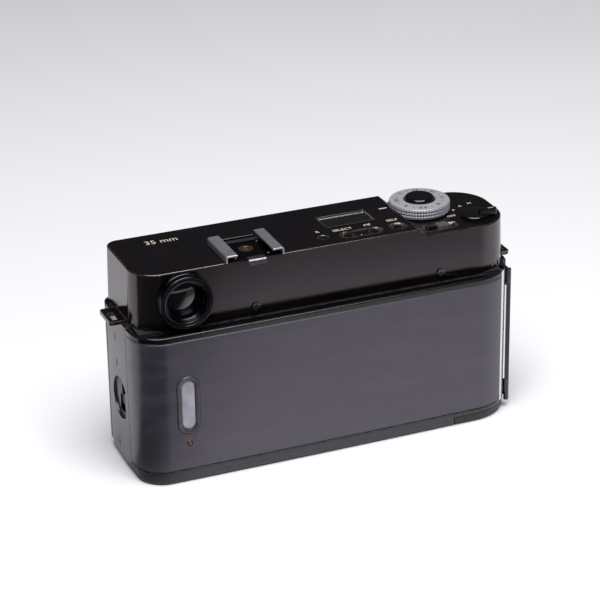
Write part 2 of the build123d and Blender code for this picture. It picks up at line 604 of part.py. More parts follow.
def chassis():
    """Die-cast body with the cartridge, film, lens and battery spaces."""
    block = slab(body_outline(PLATE_WALL + 0.3), CHASSIS_FLOOR, CHASSIS_TOP)
    block &= box(-200, 200, -200, BATTERY_FRONT_Y + BATTERY_SPAN + BATTERY_R + 0.8, 0, 100)
    block -= box(BATTERY_X + BATTERY_R + 1.2, 200, FILM_PLANE, 100, 0, 100)
    block -= box(PLUS_END - 1.9, 200, DOOR_SEAM_Y - 1, 100, 0, 100)
    flange_y = COVER_BACK + 0.75 - GAP
    block -= box(-200, 200, flange_y, 100, CHASSIS_TOP - LEDGE_DROP - DOOR_FLANGE - GAP, 100)
    block -= skirt(SEAM, 100)
    block -= box(-200, 200, flange_y, 100, 0, BASE_HEIGHT + 2 * GAP + DOOR_FLANGE)
    block -= box(-200, HINGE_X + 3.7, HINGE_Y - HINGE_LEAF, 100, 0, 100)
    chamber_z = FILM_Z - CARTRIDGE_H / 2
    block -= rod_z(CARTRIDGE_X, CARTRIDGE_Y, chamber_z, chamber_z + CARTRIDGE_H, CARTRIDGE_R)
    x0, x1 = CARTRIDGE_X - CARTRIDGE_R, CARTRIDGE_X + CARTRIDGE_R
    block -= box(x0, x1, CARTRIDGE_Y, 100, chamber_z, chamber_z + CARTRIDGE_H)
    z0, z1 = FILM_Z - TAKEUP_H / 2, FILM_Z + TAKEUP_H / 2
    block -= rod_z(TAKEUP_X, TAKEUP_Y, z0, z1, TAKEUP_R)
    block -= box(TAKEUP_X - TAKEUP_R, TAKEUP_X + TAKEUP_R, TAKEUP_Y, 100, z0, z1)
    block -= rod_z(SPROCKET_X, FILM_PLANE - SPROCKET_R, FILM_Z - 18.5, FILM_Z + 18.5, SPROCKET_R + 0.6)
    block -= stadium_prism(BATTERY_X, BATTERY_FRONT_Y, BATTERY_SPAN, BATTERY_R, 0, BATTERY_TOP)
    block -= Pos(LENS_X, 0, FILM_Z) * Box(GATE_W, 100, GATE_H)
    block -= box(LENS_X - 20.6, LENS_X + 20.6, -50, FILM_PLANE - 4.5, FILM_Z - 15.5, FILM_Z + 15.5)
    block -= rod_y(LENS_X, FILM_Z, -50, FRONT_Y + 12.5, FOCUS_R + 0.5)
    block -= rod_z(0, 0, 0, 10.0, 6.0 + SEAM)
    block -= rod_z(CARTRIDGE_X, CARTRIDGE_Y, 30, 100, FORK_SHAFT_R + RUN)
    block -= rod_z(TAKEUP_X, TAKEUP_Y, 30, 100, NECK_R + RUN)
    block -= rod_z(SPROCKET_X, FILM_PLANE - SPROCKET_R, FILM_Z - 20.5, FILM_Z + 20.5, 1.2 + RUN)
    block -= box(PLUS_END - 4.4, 200, DISH_Y - 4.0, 100, DISH_Z - 8.0, DISH_Z + 10.0)
    for z in (FILM_Z - GATE_H / 2 - 2.0, FILM_Z + GATE_H / 2 + 0.8):
        rail_end = CARTRIDGE_X - CARTRIDGE_R - 1
        block += box(LENS_X - GATE_W / 2 + 0.4, rail_end, FILM_PLANE - 1, FILM_PLANE + 0.12, z, z + 1.2)
    post = rod_z(IDLER_X, IDLER_Y, CHASSIS_TOP - 1, GEAR_Z + 4.6, IDLER_BORE)
    return block + post + rod_z(IDLER_X, IDLER_Y, CHASSIS_TOP - 1, GEAR_Z, IDLER_BORE * 2)


# ---------------------------------------------------------------- base
def base_blank(z0, z1, inset=BASE_INSET):
    return slab(body_outline(inset), z0, z1)


def bottom_cover():
    """Base moulding, open below the battery and recessed for plate and lid."""
    cover = base_blank(0, BASE_HEIGHT)
    cover = fillet(cover.edges().group_by(Axis.Z)[0], 1.2)
    cover -= box(PLATE_MINUS, PLATE_PLUS, -50, 50, -1, PLATE_H)
    cover -= box(-200, PLATE_MINUS, -50, 50, -1, LID_H)
    pocket = base_blank(1.3, BASE_HEIGHT + 1, BASE_INSET + 1.6) & box(PLATE_PLUS + 1.6, 200, -50, 50, 0, 50)
    cover -= pocket
    cover -= stadium_prism(BATTERY_X, BATTERY_FRONT_Y, BATTERY_SPAN, BATTERY_R, -1, 10)
    return cover - rod_z(0, 0, -1, 10, 6.0 + SEAM)


def base_slice(x0, x1, height):
    piece = base_blank(0, BASE_HEIGHT)
    piece = fillet(piece.edges().group_by(Axis.Z)[0], 1.2)
    return piece & box(x0, x1, -50, 50, -1, height)


def bottom_plate():
    """Middle plate of the underside, on bosses for its four screws."""
    plate = base_slice(PLATE_MINUS + SEAM, PLATE_PLUS - SEAM, PLATE_H - SEAM)
    plate -= base_blank(1.2, 10, BASE_INSET + 1.6) & box(PLATE_MINUS + 2, PLATE_PLUS - 2, -50, 50, 0, 50)
    plate += rod_z(0, 0, 0.4, PLATE_H - SEAM, 8.0)
    for x, y in BASE_SCREWS:
        plate += rod_z(x, y, 0.4, PLATE_H - SEAM, 2.6)
        plate -= rod_z(x, y, -1, 1.1, 1.7)
    return plate - rod_z(0, 0, -1, 10, 6.0 + SEAM)


def base_screws():
    """Four countersunk screws in the bottom plate."""
    shapes = []
    for x, y in BASE_SCREWS:
        head = rod_z(x, y, 0.3, 1.1, 1.6)
        head -= box(x - 1.1, x + 1.1, y - 0.2, y + 0.2, 0, 0.7)
        head -= box(x - 0.2, x + 0.2, y - 1.1, y + 1.1, 0, 0.7)
        shapes.append(head)
    return shapes


def tripod_socket():
    socket = rod_z(0, 0, 0, 9.6, 6.0)
    return socket - rod_z(0, 0, -1, TRIPOD_DEPTH, TRIPOD_R)


def battery_lid():
    """Lid over the battery chamber, hollow, with the window for its catch."""
    lid = base_slice(-200, PLATE_MINUS - GAP, LID_H - GAP)
    lid -= base_blank(1.2, 10, BASE_INSET + 1.4) & box(-200, PLATE_MINUS - 3.4, -50, 50, 0, 50)
    lid -= box(MINUS_END + 3.6, MINUS_END + 9.2, -3.6, 3.6, -1, 10)
    lid += box(MINUS_END + 2.6, MINUS_END + 10.2, -4.4, 4.4, 0.8, 2.2)
    lid -= box(MINUS_END + 3.6, MINUS_END + 9.2, -3.6, 3.6, 0, 10)
    return lid


def lid_latch():
    """Sliding catch in the battery lid."""
    x0 = MINUS_END + 4.6
    latch = box(x0, x0 + 3.6, -3.3, 3.3, 0.35, 2.2)
    for rib in range(3):
        latch -= box(x0 + 0.6 + rib, x0 + 0.95 + rib, -2.4, 2.4, 0, 0.7)
    return latch


# ---------------------------------------------------------------- strap lugs
def strap_lug(side):
    """Flat plate on the body's end, with a slot for the strap."""
    edge = PLUS_END if side > 0 else -MINUS_END
    x0 = HALF + (COVER_TOP - DECK_Z) * math.tan(math.radians(COVER_DRAFT)) + SEAM
    x1 = edge + LUG_REACH[side]
    y0, y1 = LUG_Y - LUG_D / 2, LUG_Y + LUG_D / 2
    plate = box(x0, x1, y0, y1, DECK_Z - SEAM, DECK_Z + 1.2)
    plate = chamfer(plate.edges().filter_by(Axis.Z).group_by(Axis.X)[-1], 0.8)
    plate -= box(x1 - LUG_RIM - LUG_SLOT, x1 - LUG_RIM, y0 + 4.2, y1 - LUG_RIM, DECK_Z - 1, DECK_Z + 3)
    return plate if side > 0 else mirror(plate, Plane.YZ)


# ---------------------------------------------------------------- film door
def door_field():
    """Part of the body's plan that the door takes, up to its hinge."""
    field = box(DOOR_END_X, 200, DOOR_SEAM_Y, 100, 0, 100)
    return field + box(HINGE_X + 0.5, DOOR_END_X + 1, HINGE_Y - 0.7, 100, 0, 100)


def panel_field(play):
    """Block that bounds the door's panel, rounded at its hinge end; play shrinks it."""
    x0 = PANEL_END_X + play
    y0 = DOOR_SEAM_Y + 0.8 + play
    block = box(x0, 200, y0, 100, PANEL_Z0 + play, PANEL_Z1 - play)
    low = block.edges().filter_by(Axis.Y).group_by(Axis.X)[0].sort_by(Axis.Z)[0]
    block = fillet(low, PANEL_CORNERS[0])
    high = block.edges().filter_by(Axis.Y).group_by(Axis.X)[0].sort_by(Axis.Z)[-1]
    return fillet(high, PANEL_CORNERS[1])


def door_shell():
    """Pan of the film door, with the recess for its panel and its hinge barrel."""
    z0 = BASE_HEIGHT + GAP
    z1 = DECK_Z - SEAM
    blank = slab(body_outline(), z0, z1)
    rims = blank.edges().group_by(Axis.Z)
    blank = fillet(rims[0] + rims[-1], DOOR_EDGE)
    ledge = z1 - LEDGE_DROP
    pan = blank - slab(body_outline(DOOR_WALL), z0 + DOOR_FLANGE, ledge - DOOR_FLANGE)
    pan -= slab(body_outline(DOOR_LIP), ledge, z1 + 1)
    pan &= door_field()
    flange_x = PLUS_END - DOOR_WALL
    flange_y = COVER_BACK + 0.75
    pan -= box(-200, flange_x, -50, flange_y, ledge - DOOR_FLANGE - 0.01, z1 + 1)
    pan -= box(-200, flange_x, -50, flange_y, z0 - 1, z0 + DOOR_FLANGE + 0.01)
    recess = slab(body_outline(), PANEL_Z0, PANEL_Z1) - slab(body_outline(SKIN), 0, 100)
    pan -= recess & panel_field(0)
    pan -= window_prism(17.0, 3.6, DOOR_BACK - 4, DOOR_BACK + 4)
    pan -= rod_y(WINDOW_X, WINDOW_Z - 14.3, DOOR_BACK - 4, DOOR_BACK + 4, RIVET_R)
    pan -= rod_z(HINGE_X, HINGE_Y, 0, 100, HINGE_R + GAP)
    barrel_z0 = KNUCKLES[1] + GAP
    barrel_z1 = KNUCKLES[2] - GAP
    pan += box(HINGE_X, DOOR_END_X + 0.7, HINGE_Y - 0.85, HINGE_Y + 0.45, barrel_z0, barrel_z1)
    pan += rod_z(HINGE_X, HINGE_Y, barrel_z0, barrel_z1, HINGE_R)
    return pan - rod_z(HINGE_X, HINGE_Y, 0, 100, HINGE_PIN_R + RUN)


def door_panel():
    """Thin outer panel let into the door's recess."""
    skin = slab(body_outline(), PANEL_Z0 + 0.05, PANEL_Z1 - 0.05)
    rims = skin.edges().group_by(Axis.Z)
    skin = chamfer(rims[0] + rims[-1], SKIN * 0.6)
    skin -= slab(body_outline(SKIN), 0, 100)
    skin &= panel_field(0.05)
    skin -= window_prism(21.4, 8.4, DOOR_BACK - 4, DOOR_BACK + 4)
    return skin - rod_y(WINDOW_X, WINDOW_Z - 14.3, DOOR_BACK - 4, DOOR_BACK + 4, RIVET_R + SEAM)


def window_prism(height, width, y0, y1):
    """Upright round-ended prism through the door at the film window."""
    face = Plane.XZ * Rot(0, 0, 90) * racetrack(height, width)
    return Pos(WINDOW_X, y1, WINDOW_Z) * extrude(face, y1 - y0)


def window_frame():
    """Raised rim round the film window, seated in the panel on the door's skin."""
    y0 = DOOR_FACE - SKIN + 0.1
    return window_prism(21.2, 8.2, y0, DOOR_FACE + 0.3) - window_prism(17.8, 4.4, y0 - 1, DOOR_FACE + 1)


def window_pane():
    y0 = DOOR_FACE - SKIN + 0.1
    return window_prism(17.6, 4.2, y0, y0 + 0.35)


def door_rivet():
    return rod_y(WINDOW_X, WINDOW_Z - 14.3, DOOR_FACE - DOOR_WALL - 0.4, DOOR_FACE + 0.1, RIVET_R)


def door_seals():
    """Light-tight foam strips along the door's top and bottom flanges."""
    y0, y1 = FILM_PLANE + 0.4, FILM_PLANE + 2.6
    x0, x1 = BATTERY_X + BATTERY_R + 4, PLUS_END - 12
    low = BASE_HEIGHT + GAP + DOOR_FLANGE
    high = DECK_Z - SEAM - LEDGE_DROP - DOOR_FLANGE
    return group([box(x0, x1, y0, y1, low, low + 0.6), box(x0, x1, y0, y1, high - 0.6, high)])


def door_catch():
    """Two hooks on the door's end that the release holds."""
    x0 = PLUS_END - DOOR_WALL - 1.4
    hooks = []
    for z in (DISH_Z - 6.0, DISH_Z + 5.0):
        hook = box(x0, x0 + 1.2, DOOR_SEAM_Y - 5.0, DOOR_SEAM_Y + 4.0, z, z + 3.0)
        hook += box(x0, PLUS_END - DOOR_WALL + 0.3, DOOR_SEAM_Y + 1.0, DOOR_SEAM_Y + 4.0, z, z + 3.0)
        hooks.append(hook)
    return group(hooks)


def hinge_knuckles():
    """Hinge ears on the body with the leaf that carries them."""
    x0 = HINGE_X - 0.3
    x1 = HINGE_X + 0.9
    ears = None
    for z0, z1 in ((KNUCKLES[0], KNUCKLES[1]), (KNUCKLES[2], KNUCKLES[3])):
        ear = rod_z(HINGE_X, HINGE_Y, z0, z1, HINGE_R)
        ear += box(x0, HINGE_X + 0.6, HINGE_Y - HINGE_LEAF, HINGE_Y, max(z0, LEAF_Z0), z1)
        ears = ear if ears is None else ears + ear
    leaf = box(x0, x1, HINGE_Y - HINGE_LEAF, HINGE_Y - 1.6, LEAF_Z0, KNUCKLES[3])
    return ears + leaf - rod_z(HINGE_X, HINGE_Y, 0, 100, HINGE_PIN_R + RUN)


def hinge_pin():
    return rod_z(HINGE_X, HINGE_Y, KNUCKLES[0], KNUCKLES[3], HINGE_PIN_R)


def pressure_plate():
    plate = box(LENS_X - 23, LENS_X + 23, FILM_PLANE + 0.35, FILM_PLANE + 1.35, FILM_Z - 15, FILM_Z + 15)
    return fillet(plate.edges().filter_by(Axis.Y), 1.5)


def pressure_spring():
    """Leaf with two bowed arms behind the pressure plate."""
    y0 = FILM_PLANE + 1.35
    leaf = box(LENS_X - 4, LENS_X + 4, y0, y0 + 0.3, FILM_Z - 5, FILM_Z + 5)
    for side in (-1, 1):
        start = (LENS_X + side * 3.5, y0)
        middle = (LENS_X + side * 11, y0 + 1.5)
        end = (LENS_X + side * 19, y0 + 0.4)
        path = ThreePointArc(start, middle, end)
        upper = [(x, y + 0.3) for x, y in (end, middle, start)]
        arm = make_face([path, Line(end, upper[0]), ThreePointArc(*upper), Line(upper[2], start)])
        leaf += slab(arm, FILM_Z - 2.5, FILM_Z + 2.5)
    return leaf


def door_release():
    """Finger bar in the end dish, on the latch strip behind the plate."""
    x0 = PLUS_END + END_CROWN - PLATE_WALL
    strip = box(x0 - 1.3, x0 - GAP, DISH_Y - 3.2, DISH_Y + 3.2, DISH_Z - 3.0, DISH_Z + 9.2)
    bar = box(x0 - GAP - 0.1, x0 + 1.0, DISH_Y - 2.1, DISH_Y + 2.1, DISH_Z + 1.8, DISH_Z + 7.0)
    return strip + bar


# ---------------------------------------------------------------- film transport
def takeup_spool():
    """Hollow drum round the wind motor, with a neck through the body's roof."""
    z0, z1 = FILM_Z - 17.5, FILM_Z + TAKEUP_H / 2 - 0.4
    spool = rod_z(TAKEUP_X, TAKEUP_Y, z0, z1, SPOOL_R)
    spool += rod_z(TAKEUP_X, TAKEUP_Y, z1 - 1.2, z1, SPOOL_R + 2.0)
    spool += rod_z(TAKEUP_X, TAKEUP_Y, z1, GEAR_Z + 0.2, NECK_R)
    spool -= rod_z(TAKEUP_X, TAKEUP_Y, z0 - 1, z1 - 4.0, SPOOL_R - 1.2)
    spool -= rod_z(TAKEUP_X, TAKEUP_Y, 0, 100, MOTOR_SHAFT_R + 0.3)
    spool += gear(SPOOL_TEETH, NECK_R - 1.5, TAKEUP_X, TAKEUP_Y, GEAR_Z + 0.2, GEAR_Z + 1.6,
                  IDLER_TURN + half_tooth(SPOOL_TEETH))
    for turn in range(0, 360, 60):
        rib = Pos(TAKEUP_X, TAKEUP_Y, 0) * Rot(0, 0, turn) * box(SPOOL_R - 0.3, SPOOL_R + 0.6, -0.4, 0.4, z0 + 1, z1 - 2)
        spool += rib
    return spool


def half_tooth(teeth):
    return 180.0 / teeth


def wind_motor():
    """Motor standing in the take-up drum on a foot in the chamber floor."""
    z0 = FILM_Z - TAKEUP_H / 2
    body = rod_z(TAKEUP_X, TAKEUP_Y, z0 + 1.2, FILM_Z + 14, MOTOR_R)
    return body + rod_z(TAKEUP_X, TAKEUP_Y, z0, z0 + 1.2, MOTOR_R + 3)


def motor_pinion():
    shaft = rod_z(TAKEUP_X, TAKEUP_Y, FILM_Z + 14.1, GEAR_Z + 4.4, MOTOR_SHAFT_R)
    return shaft + gear(PINION_TEETH, 0.5, TAKEUP_X, TAKEUP_Y, GEAR_Z + 2.4, GEAR_Z + 4.4,
                        IDLER_TURN + half_tooth(PINION_TEETH))


def idler_gear():
    """Compound gear between the motor pinion and the spool gear."""
    big = gear(IDLER_TEETH, IDLER_BORE + RUN, IDLER_X, IDLER_Y, GEAR_Z + 2.4, GEAR_Z + 4.0, IDLER_TURN + 180)
    small = gear(IDLER_SMALL, IDLER_BORE + RUN, IDLER_X, IDLER_Y, GEAR_Z + 0.2, GEAR_Z + 2.4, IDLER_TURN + 180)
    return big + small


def sprocket():
    """Toothed roller that follows the film's perforations."""
    y = FILM_PLANE - SPROCKET_R
    roller = rod_z(SPROCKET_X, y, FILM_Z - 18.0, FILM_Z + 18.0, SPROCKET_R - 0.9)
    roller += rod_z(SPROCKET_X, y, FILM_Z - 20.0, FILM_Z + 20.0, 1.2)
    for z in (FILM_Z - 14.2, FILM_Z + 14.2):
        roller += rod_z(SPROCKET_X, y, z - 1.6, z + 1.6, SPROCKET_R - 0.3)
        for turn in range(0, 360, 60):
            tooth = Pos(SPROCKET_X, y, 0) * Rot(0, 0, turn) * box(SPROCKET_R - 0.5, SPROCKET_R + 0.2, -0.6, 0.6, z - 0.8, z + 0.8)
            roller += tooth
    return roller


def rewind_fork():
    """Fork that turns the cartridge's spool, with its shaft through the body's roof."""
    roof = FILM_Z + CARTRIDGE_H / 2
    shaft = rod_z(CARTRIDGE_X, CARTRIDGE_Y, roof - 4.5, GEAR_Z + 0.4, FORK_SHAFT_R)
    hub = rod_z(CARTRIDGE_X, CARTRIDGE_Y, roof - 2.2, roof - 0.3, 4.6)
    blade = box(CARTRIDGE_X - 3.4, CARTRIDGE_X + 3.4, CARTRIDGE_Y - 0.6, CARTRIDGE_Y + 0.6, roof - 6.0, roof - 2.2)
    wheel = gear(FORK_TEETH, FORK_SHAFT_R - 0.5, CARTRIDGE_X, CARTRIDGE_Y, GEAR_Z + 0.4, GEAR_Z + 1.8, half_tooth(FORK_TEETH))
    return shaft + hub + blade + wheel


def rewind_pinion():
    shaft = rod_z(REWIND_MOTOR_X, CARTRIDGE_Y, GEAR_Z + 0.2, GEAR_Z + 2.2, 0.8)
    return shaft + gear(PINION_TEETH, 0.5, REWIND_MOTOR_X, CARTRIDGE_Y, GEAR_Z + 0.2, GEAR_Z + 1.9, 0)


def rewind_motor():
    z0 = GEAR_Z + 2.4
    motor = rod_z(REWIND_MOTOR_X, CARTRIDGE_Y, z0, z0 + 13.5, 4.3)
    return motor


# ---------------------------------------------------------------- lens
def lens_ring(y0, y1, outer, inner):
    return rod_y(LENS_X, FILM_Z, y0, y1, outer) - rod_y(LENS_X, FILM_Z, y0 - 1, y1 + 1, inner)


def lens_barrel():
    """Fixed outer barrel on the front cover."""
    barrel = lens_ring(LENS_FRONT + 5.5, FRONT_Y + PLATE_WALL + SEAM, BARREL_R, FOCUS_R + RUN)
    return barrel + lens_ring(FRONT_Y - 1.4, FRONT_Y, BARREL_R + 0.8, BARREL_R - 0.1)


def lens_hood():
    """Sliding hood round the barrel."""
    hood = lens_ring(LENS_FRONT + 0.4, FRONT_Y - 2.0, HOOD_R, BARREL_R + RUN)
    for row in range(4):
        y = FRONT_Y - 4.0 - row * 1.6
        hood -= lens_ring(y, y + 0.7, HOOD_R + 1, HOOD_R - 0.35)
    return hood


def focus_barrel():
    """Moving cell of the lens with the filter thread at its front."""
    cell = lens_ring(LENS_FRONT, FRONT_Y + 10.0, FOCUS_R, FILTER_R - 1.5)
    cell -= rod_y(LENS_X, FILM_Z, LENS_FRONT - 1, LENS_FRONT + FILTER_DEPTH, FILTER_R)
    cell += lens_ring(LENS_FRONT + FILTER_DEPTH + 5.4, SHUTTER_Y - 2.0, FILTER_R, 11.5)
    return cell + lens_ring(SHUTTER_Y + 2.0, SHUTTER_Y + 12.0, 12.5, 9.5 + 0.02) + lens_ring(
        SHUTTER_Y + 2.0, SHUTTER_Y + 3.0, FILTER_R, 12.0)


def name_ring():
    """Blank conical front ring round the first element."""
    y0 = LENS_FRONT + FILTER_DEPTH + 0.4
    ring = lens_ring(y0, y0 + 5.0, FILTER_R - 1.5, 11.5)
    cone = Pos(LENS_X, y0 - 0.01, FILM_Z) * Rot(-90, 0, 0) * Cone(FILTER_R - 2.2, 12.0, 4.0,
                                                                 align=(Align.CENTER, Align.CENTER, Align.MIN))
    return ring - cone


def front_element():
    y0 = LENS_FRONT + FILTER_DEPTH + 5.6
    return disc_lens(LENS_X, FILM_Z, y0, y0 + 4.0, 11.5 - 0.02, 2.0)


def rear_element():
    return disc_lens(LENS_X, FILM_Z, SHUTTER_Y + 7.0, SHUTTER_Y + 11.5, 9.5, 1.5)


def shutter_housing():
    """Shallow ring box that holds both shutter blades."""
    box_ring = lens_ring(SHUTTER_Y - 2.0, SHUTTER_Y + 2.0, FILTER_R - 1.5, APERTURE_R)
    box_ring -= rod_y(LENS_X, FILM_Z, SHUTTER_Y - 0.9, SHUTTER_Y + 0.9, 18.8)
    for side in (-1, 1):
        box_ring += rod_y(LENS_X + side * BLADE_PIVOT, FILM_Z, SHUTTER_Y - 0.95, SHUTTER_Y + 0.95, 0.6)
    return box_ring


def shutter_blade(side):
    """Half-disc leaf that swings on its pivot to clear the aperture."""
    y0 = SHUTTER_Y + side * 0.4
    x_pivot = LENS_X + side * BLADE_PIVOT
    leaf = rod_y(LENS_X, FILM_Z, y0 - BLADE_T / 2, y0 + BLADE_T / 2, APERTURE_R + 0.6)
    keep = box(LENS_X - 30, LENS_X + 0.5, -60, 60, 0, 60) if side < 0 else box(LENS_X - 0.5, LENS_X + 30, -60, 60, 0, 60)
    leaf &= keep
    arm = box(min(x_pivot, LENS_X + side * 4), max(x_pivot, LENS_X + side * 4), y0 - BLADE_T / 2, y0 + BLADE_T / 2,
              FILM_Z - 1.6, FILM_Z + 1.6)
    eye = rod_y(x_pivot, FILM_Z, y0 - BLADE_T / 2, y0 + BLADE_T / 2, 1.9)
    return leaf + arm + eye - rod_y(x_pivot, FILM_Z, -60, 60, 0.6 + RUN)


def build():
    """Every piece by node name."""
    return {
        "chassis": chassis(),
        "front_cover": front_cover(),
        "front_grip": grip(),
        "end_plate_latch_side": side_plate_plus(),
        "end_plate_hinge_side": side_plate_minus(),
        "case_screws": group(side_screws() + cover_screws() + base_screws()),
        "strap_lugs": group([strap_lug(1), strap_lug(-1)]),
        "top_cover": top_cover(),
        "eyepiece_ring": eyepiece_ring(),
        "eyepiece_lens": eyepiece_lens(),
        "finder_block": finder_block(),
        "finder_window": finder_window(),
        "front_windows": front_windows(),
        "display_window": lcd_window(),
        "main_board": main_board(),
        "accessory_shoe": hot_shoe(),
        "shoe_spring": shoe_spring(),
        "shoe_contact": shoe_contact(),
        "release_button": shutter_button(),
        "aperture_dial": aperture_dial(),
        "mode_switch": main_switch(),
        "setting_slider": updown_slider(),
        "select_button": push_button(SELECT_X, MODE_Y, COVER_TOP),
        "focus_button": push_button(MF_X, MODE_Y, COVER_TOP),
        "timer_button": push_button(SELF_X, MODE_Y, COVER_TOP),
        "rewind_button": push_button(REWIND_X, REWIND_Y, COVER_TOP),
        "bottom_cover": bottom_cover(),
        "bottom_plate": bottom_plate(),
        "tripod_socket": tripod_socket(),
        "battery_lid": battery_lid(),
        "lid_latch": lid_latch(),
        "hinge_knuckles": hinge_knuckles(),
        "hinge_pin": hinge_pin(),
        "door_shell": door_shell(),
        "door_panel": door_panel(),
        "door_catch": door_catch(),
        "door_seals": door_seals(),
        "door_rivet": door_rivet(),
        "window_frame": window_frame(),
        "window_pane": window_pane(),
        "pressure_plate": pressure_plate(),
        "pressure_spring": pressure_spring(),
        "door_release": door_release(),
        "takeup_spool": takeup_spool(),
        "wind_motor": wind_motor(),
        "motor_pinion": motor_pinion(),
        "idler_gear": idler_gear(),
        "sprocket": sprocket(),
        "rewind_fork": rewind_fork(),
        "rewind_pinion": rewind_pinion(),
        "rewind_motor": rewind_motor(),
        "lens_barrel": lens_barrel(),
        "lens_hood": lens_hood(),
        "focus_barrel": focus_barrel(),
        "front_ring": name_ring(),
        "front_element": front_element(),
        "rear_element": rear_element(),
        "shutter_housing": shutter_housing(),
        "shutter_blade_a": shutter_blade(-1),
        "shutter_blade_b": shutter_blade(1),
    }


if __name__ == "__main__":
    os.makedirs("parts", exist_ok=True)
    for name, shape in build().items():
        export_step(shape, f"parts/{name}.step")
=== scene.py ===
"""Looks of a compact rangefinder camera for 35 mm film: finishes, printed marks and fine parts."""
import math

import bmesh
import bpy
from mathutils import Matrix, Vector


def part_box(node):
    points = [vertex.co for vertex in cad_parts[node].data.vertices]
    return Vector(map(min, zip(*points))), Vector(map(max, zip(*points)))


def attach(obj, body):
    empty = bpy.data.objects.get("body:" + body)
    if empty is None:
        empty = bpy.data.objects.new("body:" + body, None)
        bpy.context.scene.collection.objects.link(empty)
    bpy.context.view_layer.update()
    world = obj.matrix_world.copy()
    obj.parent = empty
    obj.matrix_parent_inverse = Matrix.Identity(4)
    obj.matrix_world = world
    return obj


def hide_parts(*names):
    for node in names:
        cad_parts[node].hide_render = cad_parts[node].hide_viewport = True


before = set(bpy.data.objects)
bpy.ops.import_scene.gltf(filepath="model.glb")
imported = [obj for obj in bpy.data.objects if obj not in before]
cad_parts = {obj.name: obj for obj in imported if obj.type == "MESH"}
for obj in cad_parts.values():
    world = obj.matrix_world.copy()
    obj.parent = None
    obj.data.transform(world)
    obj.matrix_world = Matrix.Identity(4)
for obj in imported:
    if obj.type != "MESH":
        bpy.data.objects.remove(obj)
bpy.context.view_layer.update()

MM = 0.001
SCENE = bpy.context.scene


# ------------------------------------------------------------------ shader maths
class Value:
    """A socket of a finish; arithmetic on it adds Math nodes."""

    def __init__(self, finish, socket):
        self.finish = finish
        self.socket = socket

    def math(self, operation, first, second=None, clamp=False):
        sockets = {0: first} if second is None else {0: first, 1: second}
        return self.finish.node("Math", sockets, operation=operation, use_clamp=clamp)

    def __add__(self, other):
        return self.math("ADD", self, other)

    def __sub__(self, other):
        return self.math("SUBTRACT", self, other)

    def __rsub__(self, other):
        return self.math("SUBTRACT", other, self)

    def __mul__(self, other):
        return self.math("MULTIPLY", self, other)

    __radd__ = __add__
    __rmul__ = __mul__

    def clamp(self):
        return self.math("ADD", self, 0.0, clamp=True)

    def above(self, low, high):
        """0 below low, 1 above high, smooth between."""
        return self.finish.node("MapRange", {"Value": self, "From Min": low, "From Max": high},
                                interpolation_type="SMOOTHSTEP")


class Finish:
    """A material built on one Principled shader."""

    def __init__(self, name, **uniform):
        self.material = bpy.data.materials.new(name)
        self.material.use_nodes = True
        self.tree = self.material.node_tree
        self.tree.nodes.clear()
        self.shader = self.tree.nodes.new("ShaderNodeBsdfPrincipled")
        output = self.tree.nodes.new("ShaderNodeOutputMaterial")
        self.tree.links.new(self.shader.outputs[0], output.inputs["Surface"])
        self.place = self.node("TexCoord", {}, out="Object")
        for key, value in uniform.items():
            self.set(key.replace("_", " "), value)

    def node(self, kind, sockets, out=0, stops=None, **settings):
        node = self.tree.nodes.new("ShaderNode" + kind)
        for key, value in settings.items():
            setattr(node, key, value)
        if stops:
            ramp = node.color_ramp.elements
            while len(ramp) < len(stops):
                ramp.new(0.5)
            for element, (position, colour) in zip(ramp, stops):
                element.position = position
                element.color = (*colour, 1)
        for key, value in sockets.items():
            self.plug(node.inputs[key], value)
        return Value(self, node.outputs[out])

    def plug(self, target, value):
        if isinstance(value, Value):
            self.tree.links.new(value.socket, target)
        elif target.type == "RGBA" and len(value) == 3:
            target.default_value = (*value, 1)
        else:
            target.default_value = value

    def set(self, socket, value):
        self.plug(self.shader.inputs[socket], value)

    def stretched(self, x, y, z):
        """Object coordinates scaled along each axis."""
        return self.node("VectorMath", {0: self.place, 1: (x, y, z)}, operation="MULTIPLY")

    def noise(self, size_mm, detail=3.0, stretch=(1, 1, 1), roughness=0.55):
        """Cloudy noise from 0 to 1; size_mm is the width of its patches."""
        return self.node("TexNoise", {"Vector": self.stretched(*stretch), "Scale": 1 / (size_mm * MM),
                                      "Detail": detail, "Roughness": roughness})

    def cells(self, per_metre):
        """Distance from the middle of the nearest cell, for rounded grain."""
        return self.node("TexVoronoi", {"Vector": self.place, "Scale": per_metre}, out="Distance")

    def specks(self, spacing_mm, size):
        """Sparse round specks, 1 inside a speck: dust and tiny chips."""
        cells = self.cells(1 / (spacing_mm * MM))
        rarity = self.noise(spacing_mm * 2.7, 1.0)
        return (1 - cells.above(size * 0.5, size)) * rarity.above(0.5, 0.62)

    def edges(self, radius_mm, gain):
        """1 on sharp outside and inside edges, fading over radius_mm."""
        soft = self.node("Bevel", {"Radius": radius_mm * MM}, samples=6)
        true = self.node("NewGeometry", {}, out="Normal")
        alike = self.node("VectorMath", {0: soft, 1: true}, out="Value", operation="DOT_PRODUCT")
        return ((1 - alike) * gain).clamp()

    def mix(self, factor, first, second):
        """Colour mix of two colours or colour sockets."""
        node = self.tree.nodes.new("ShaderNodeMix")
        node.data_type = "RGBA"
        for index, value in ((0, factor), (6, first), (7, second)):
            self.plug(node.inputs[index], value)
        return Value(self, node.outputs[2])

    def bump(self, height, depth_mm):
        """Bump from a height of 0 to 1 that stands for depth_mm."""
        sockets = {"Height": height, "Distance": depth_mm * MM, "Strength": 1.0}
        self.set("Normal", self.node("Bump", sockets))


def shade(colour, factor):
    """A colour made darker or lighter."""
    return tuple(channel * factor for channel in colour)


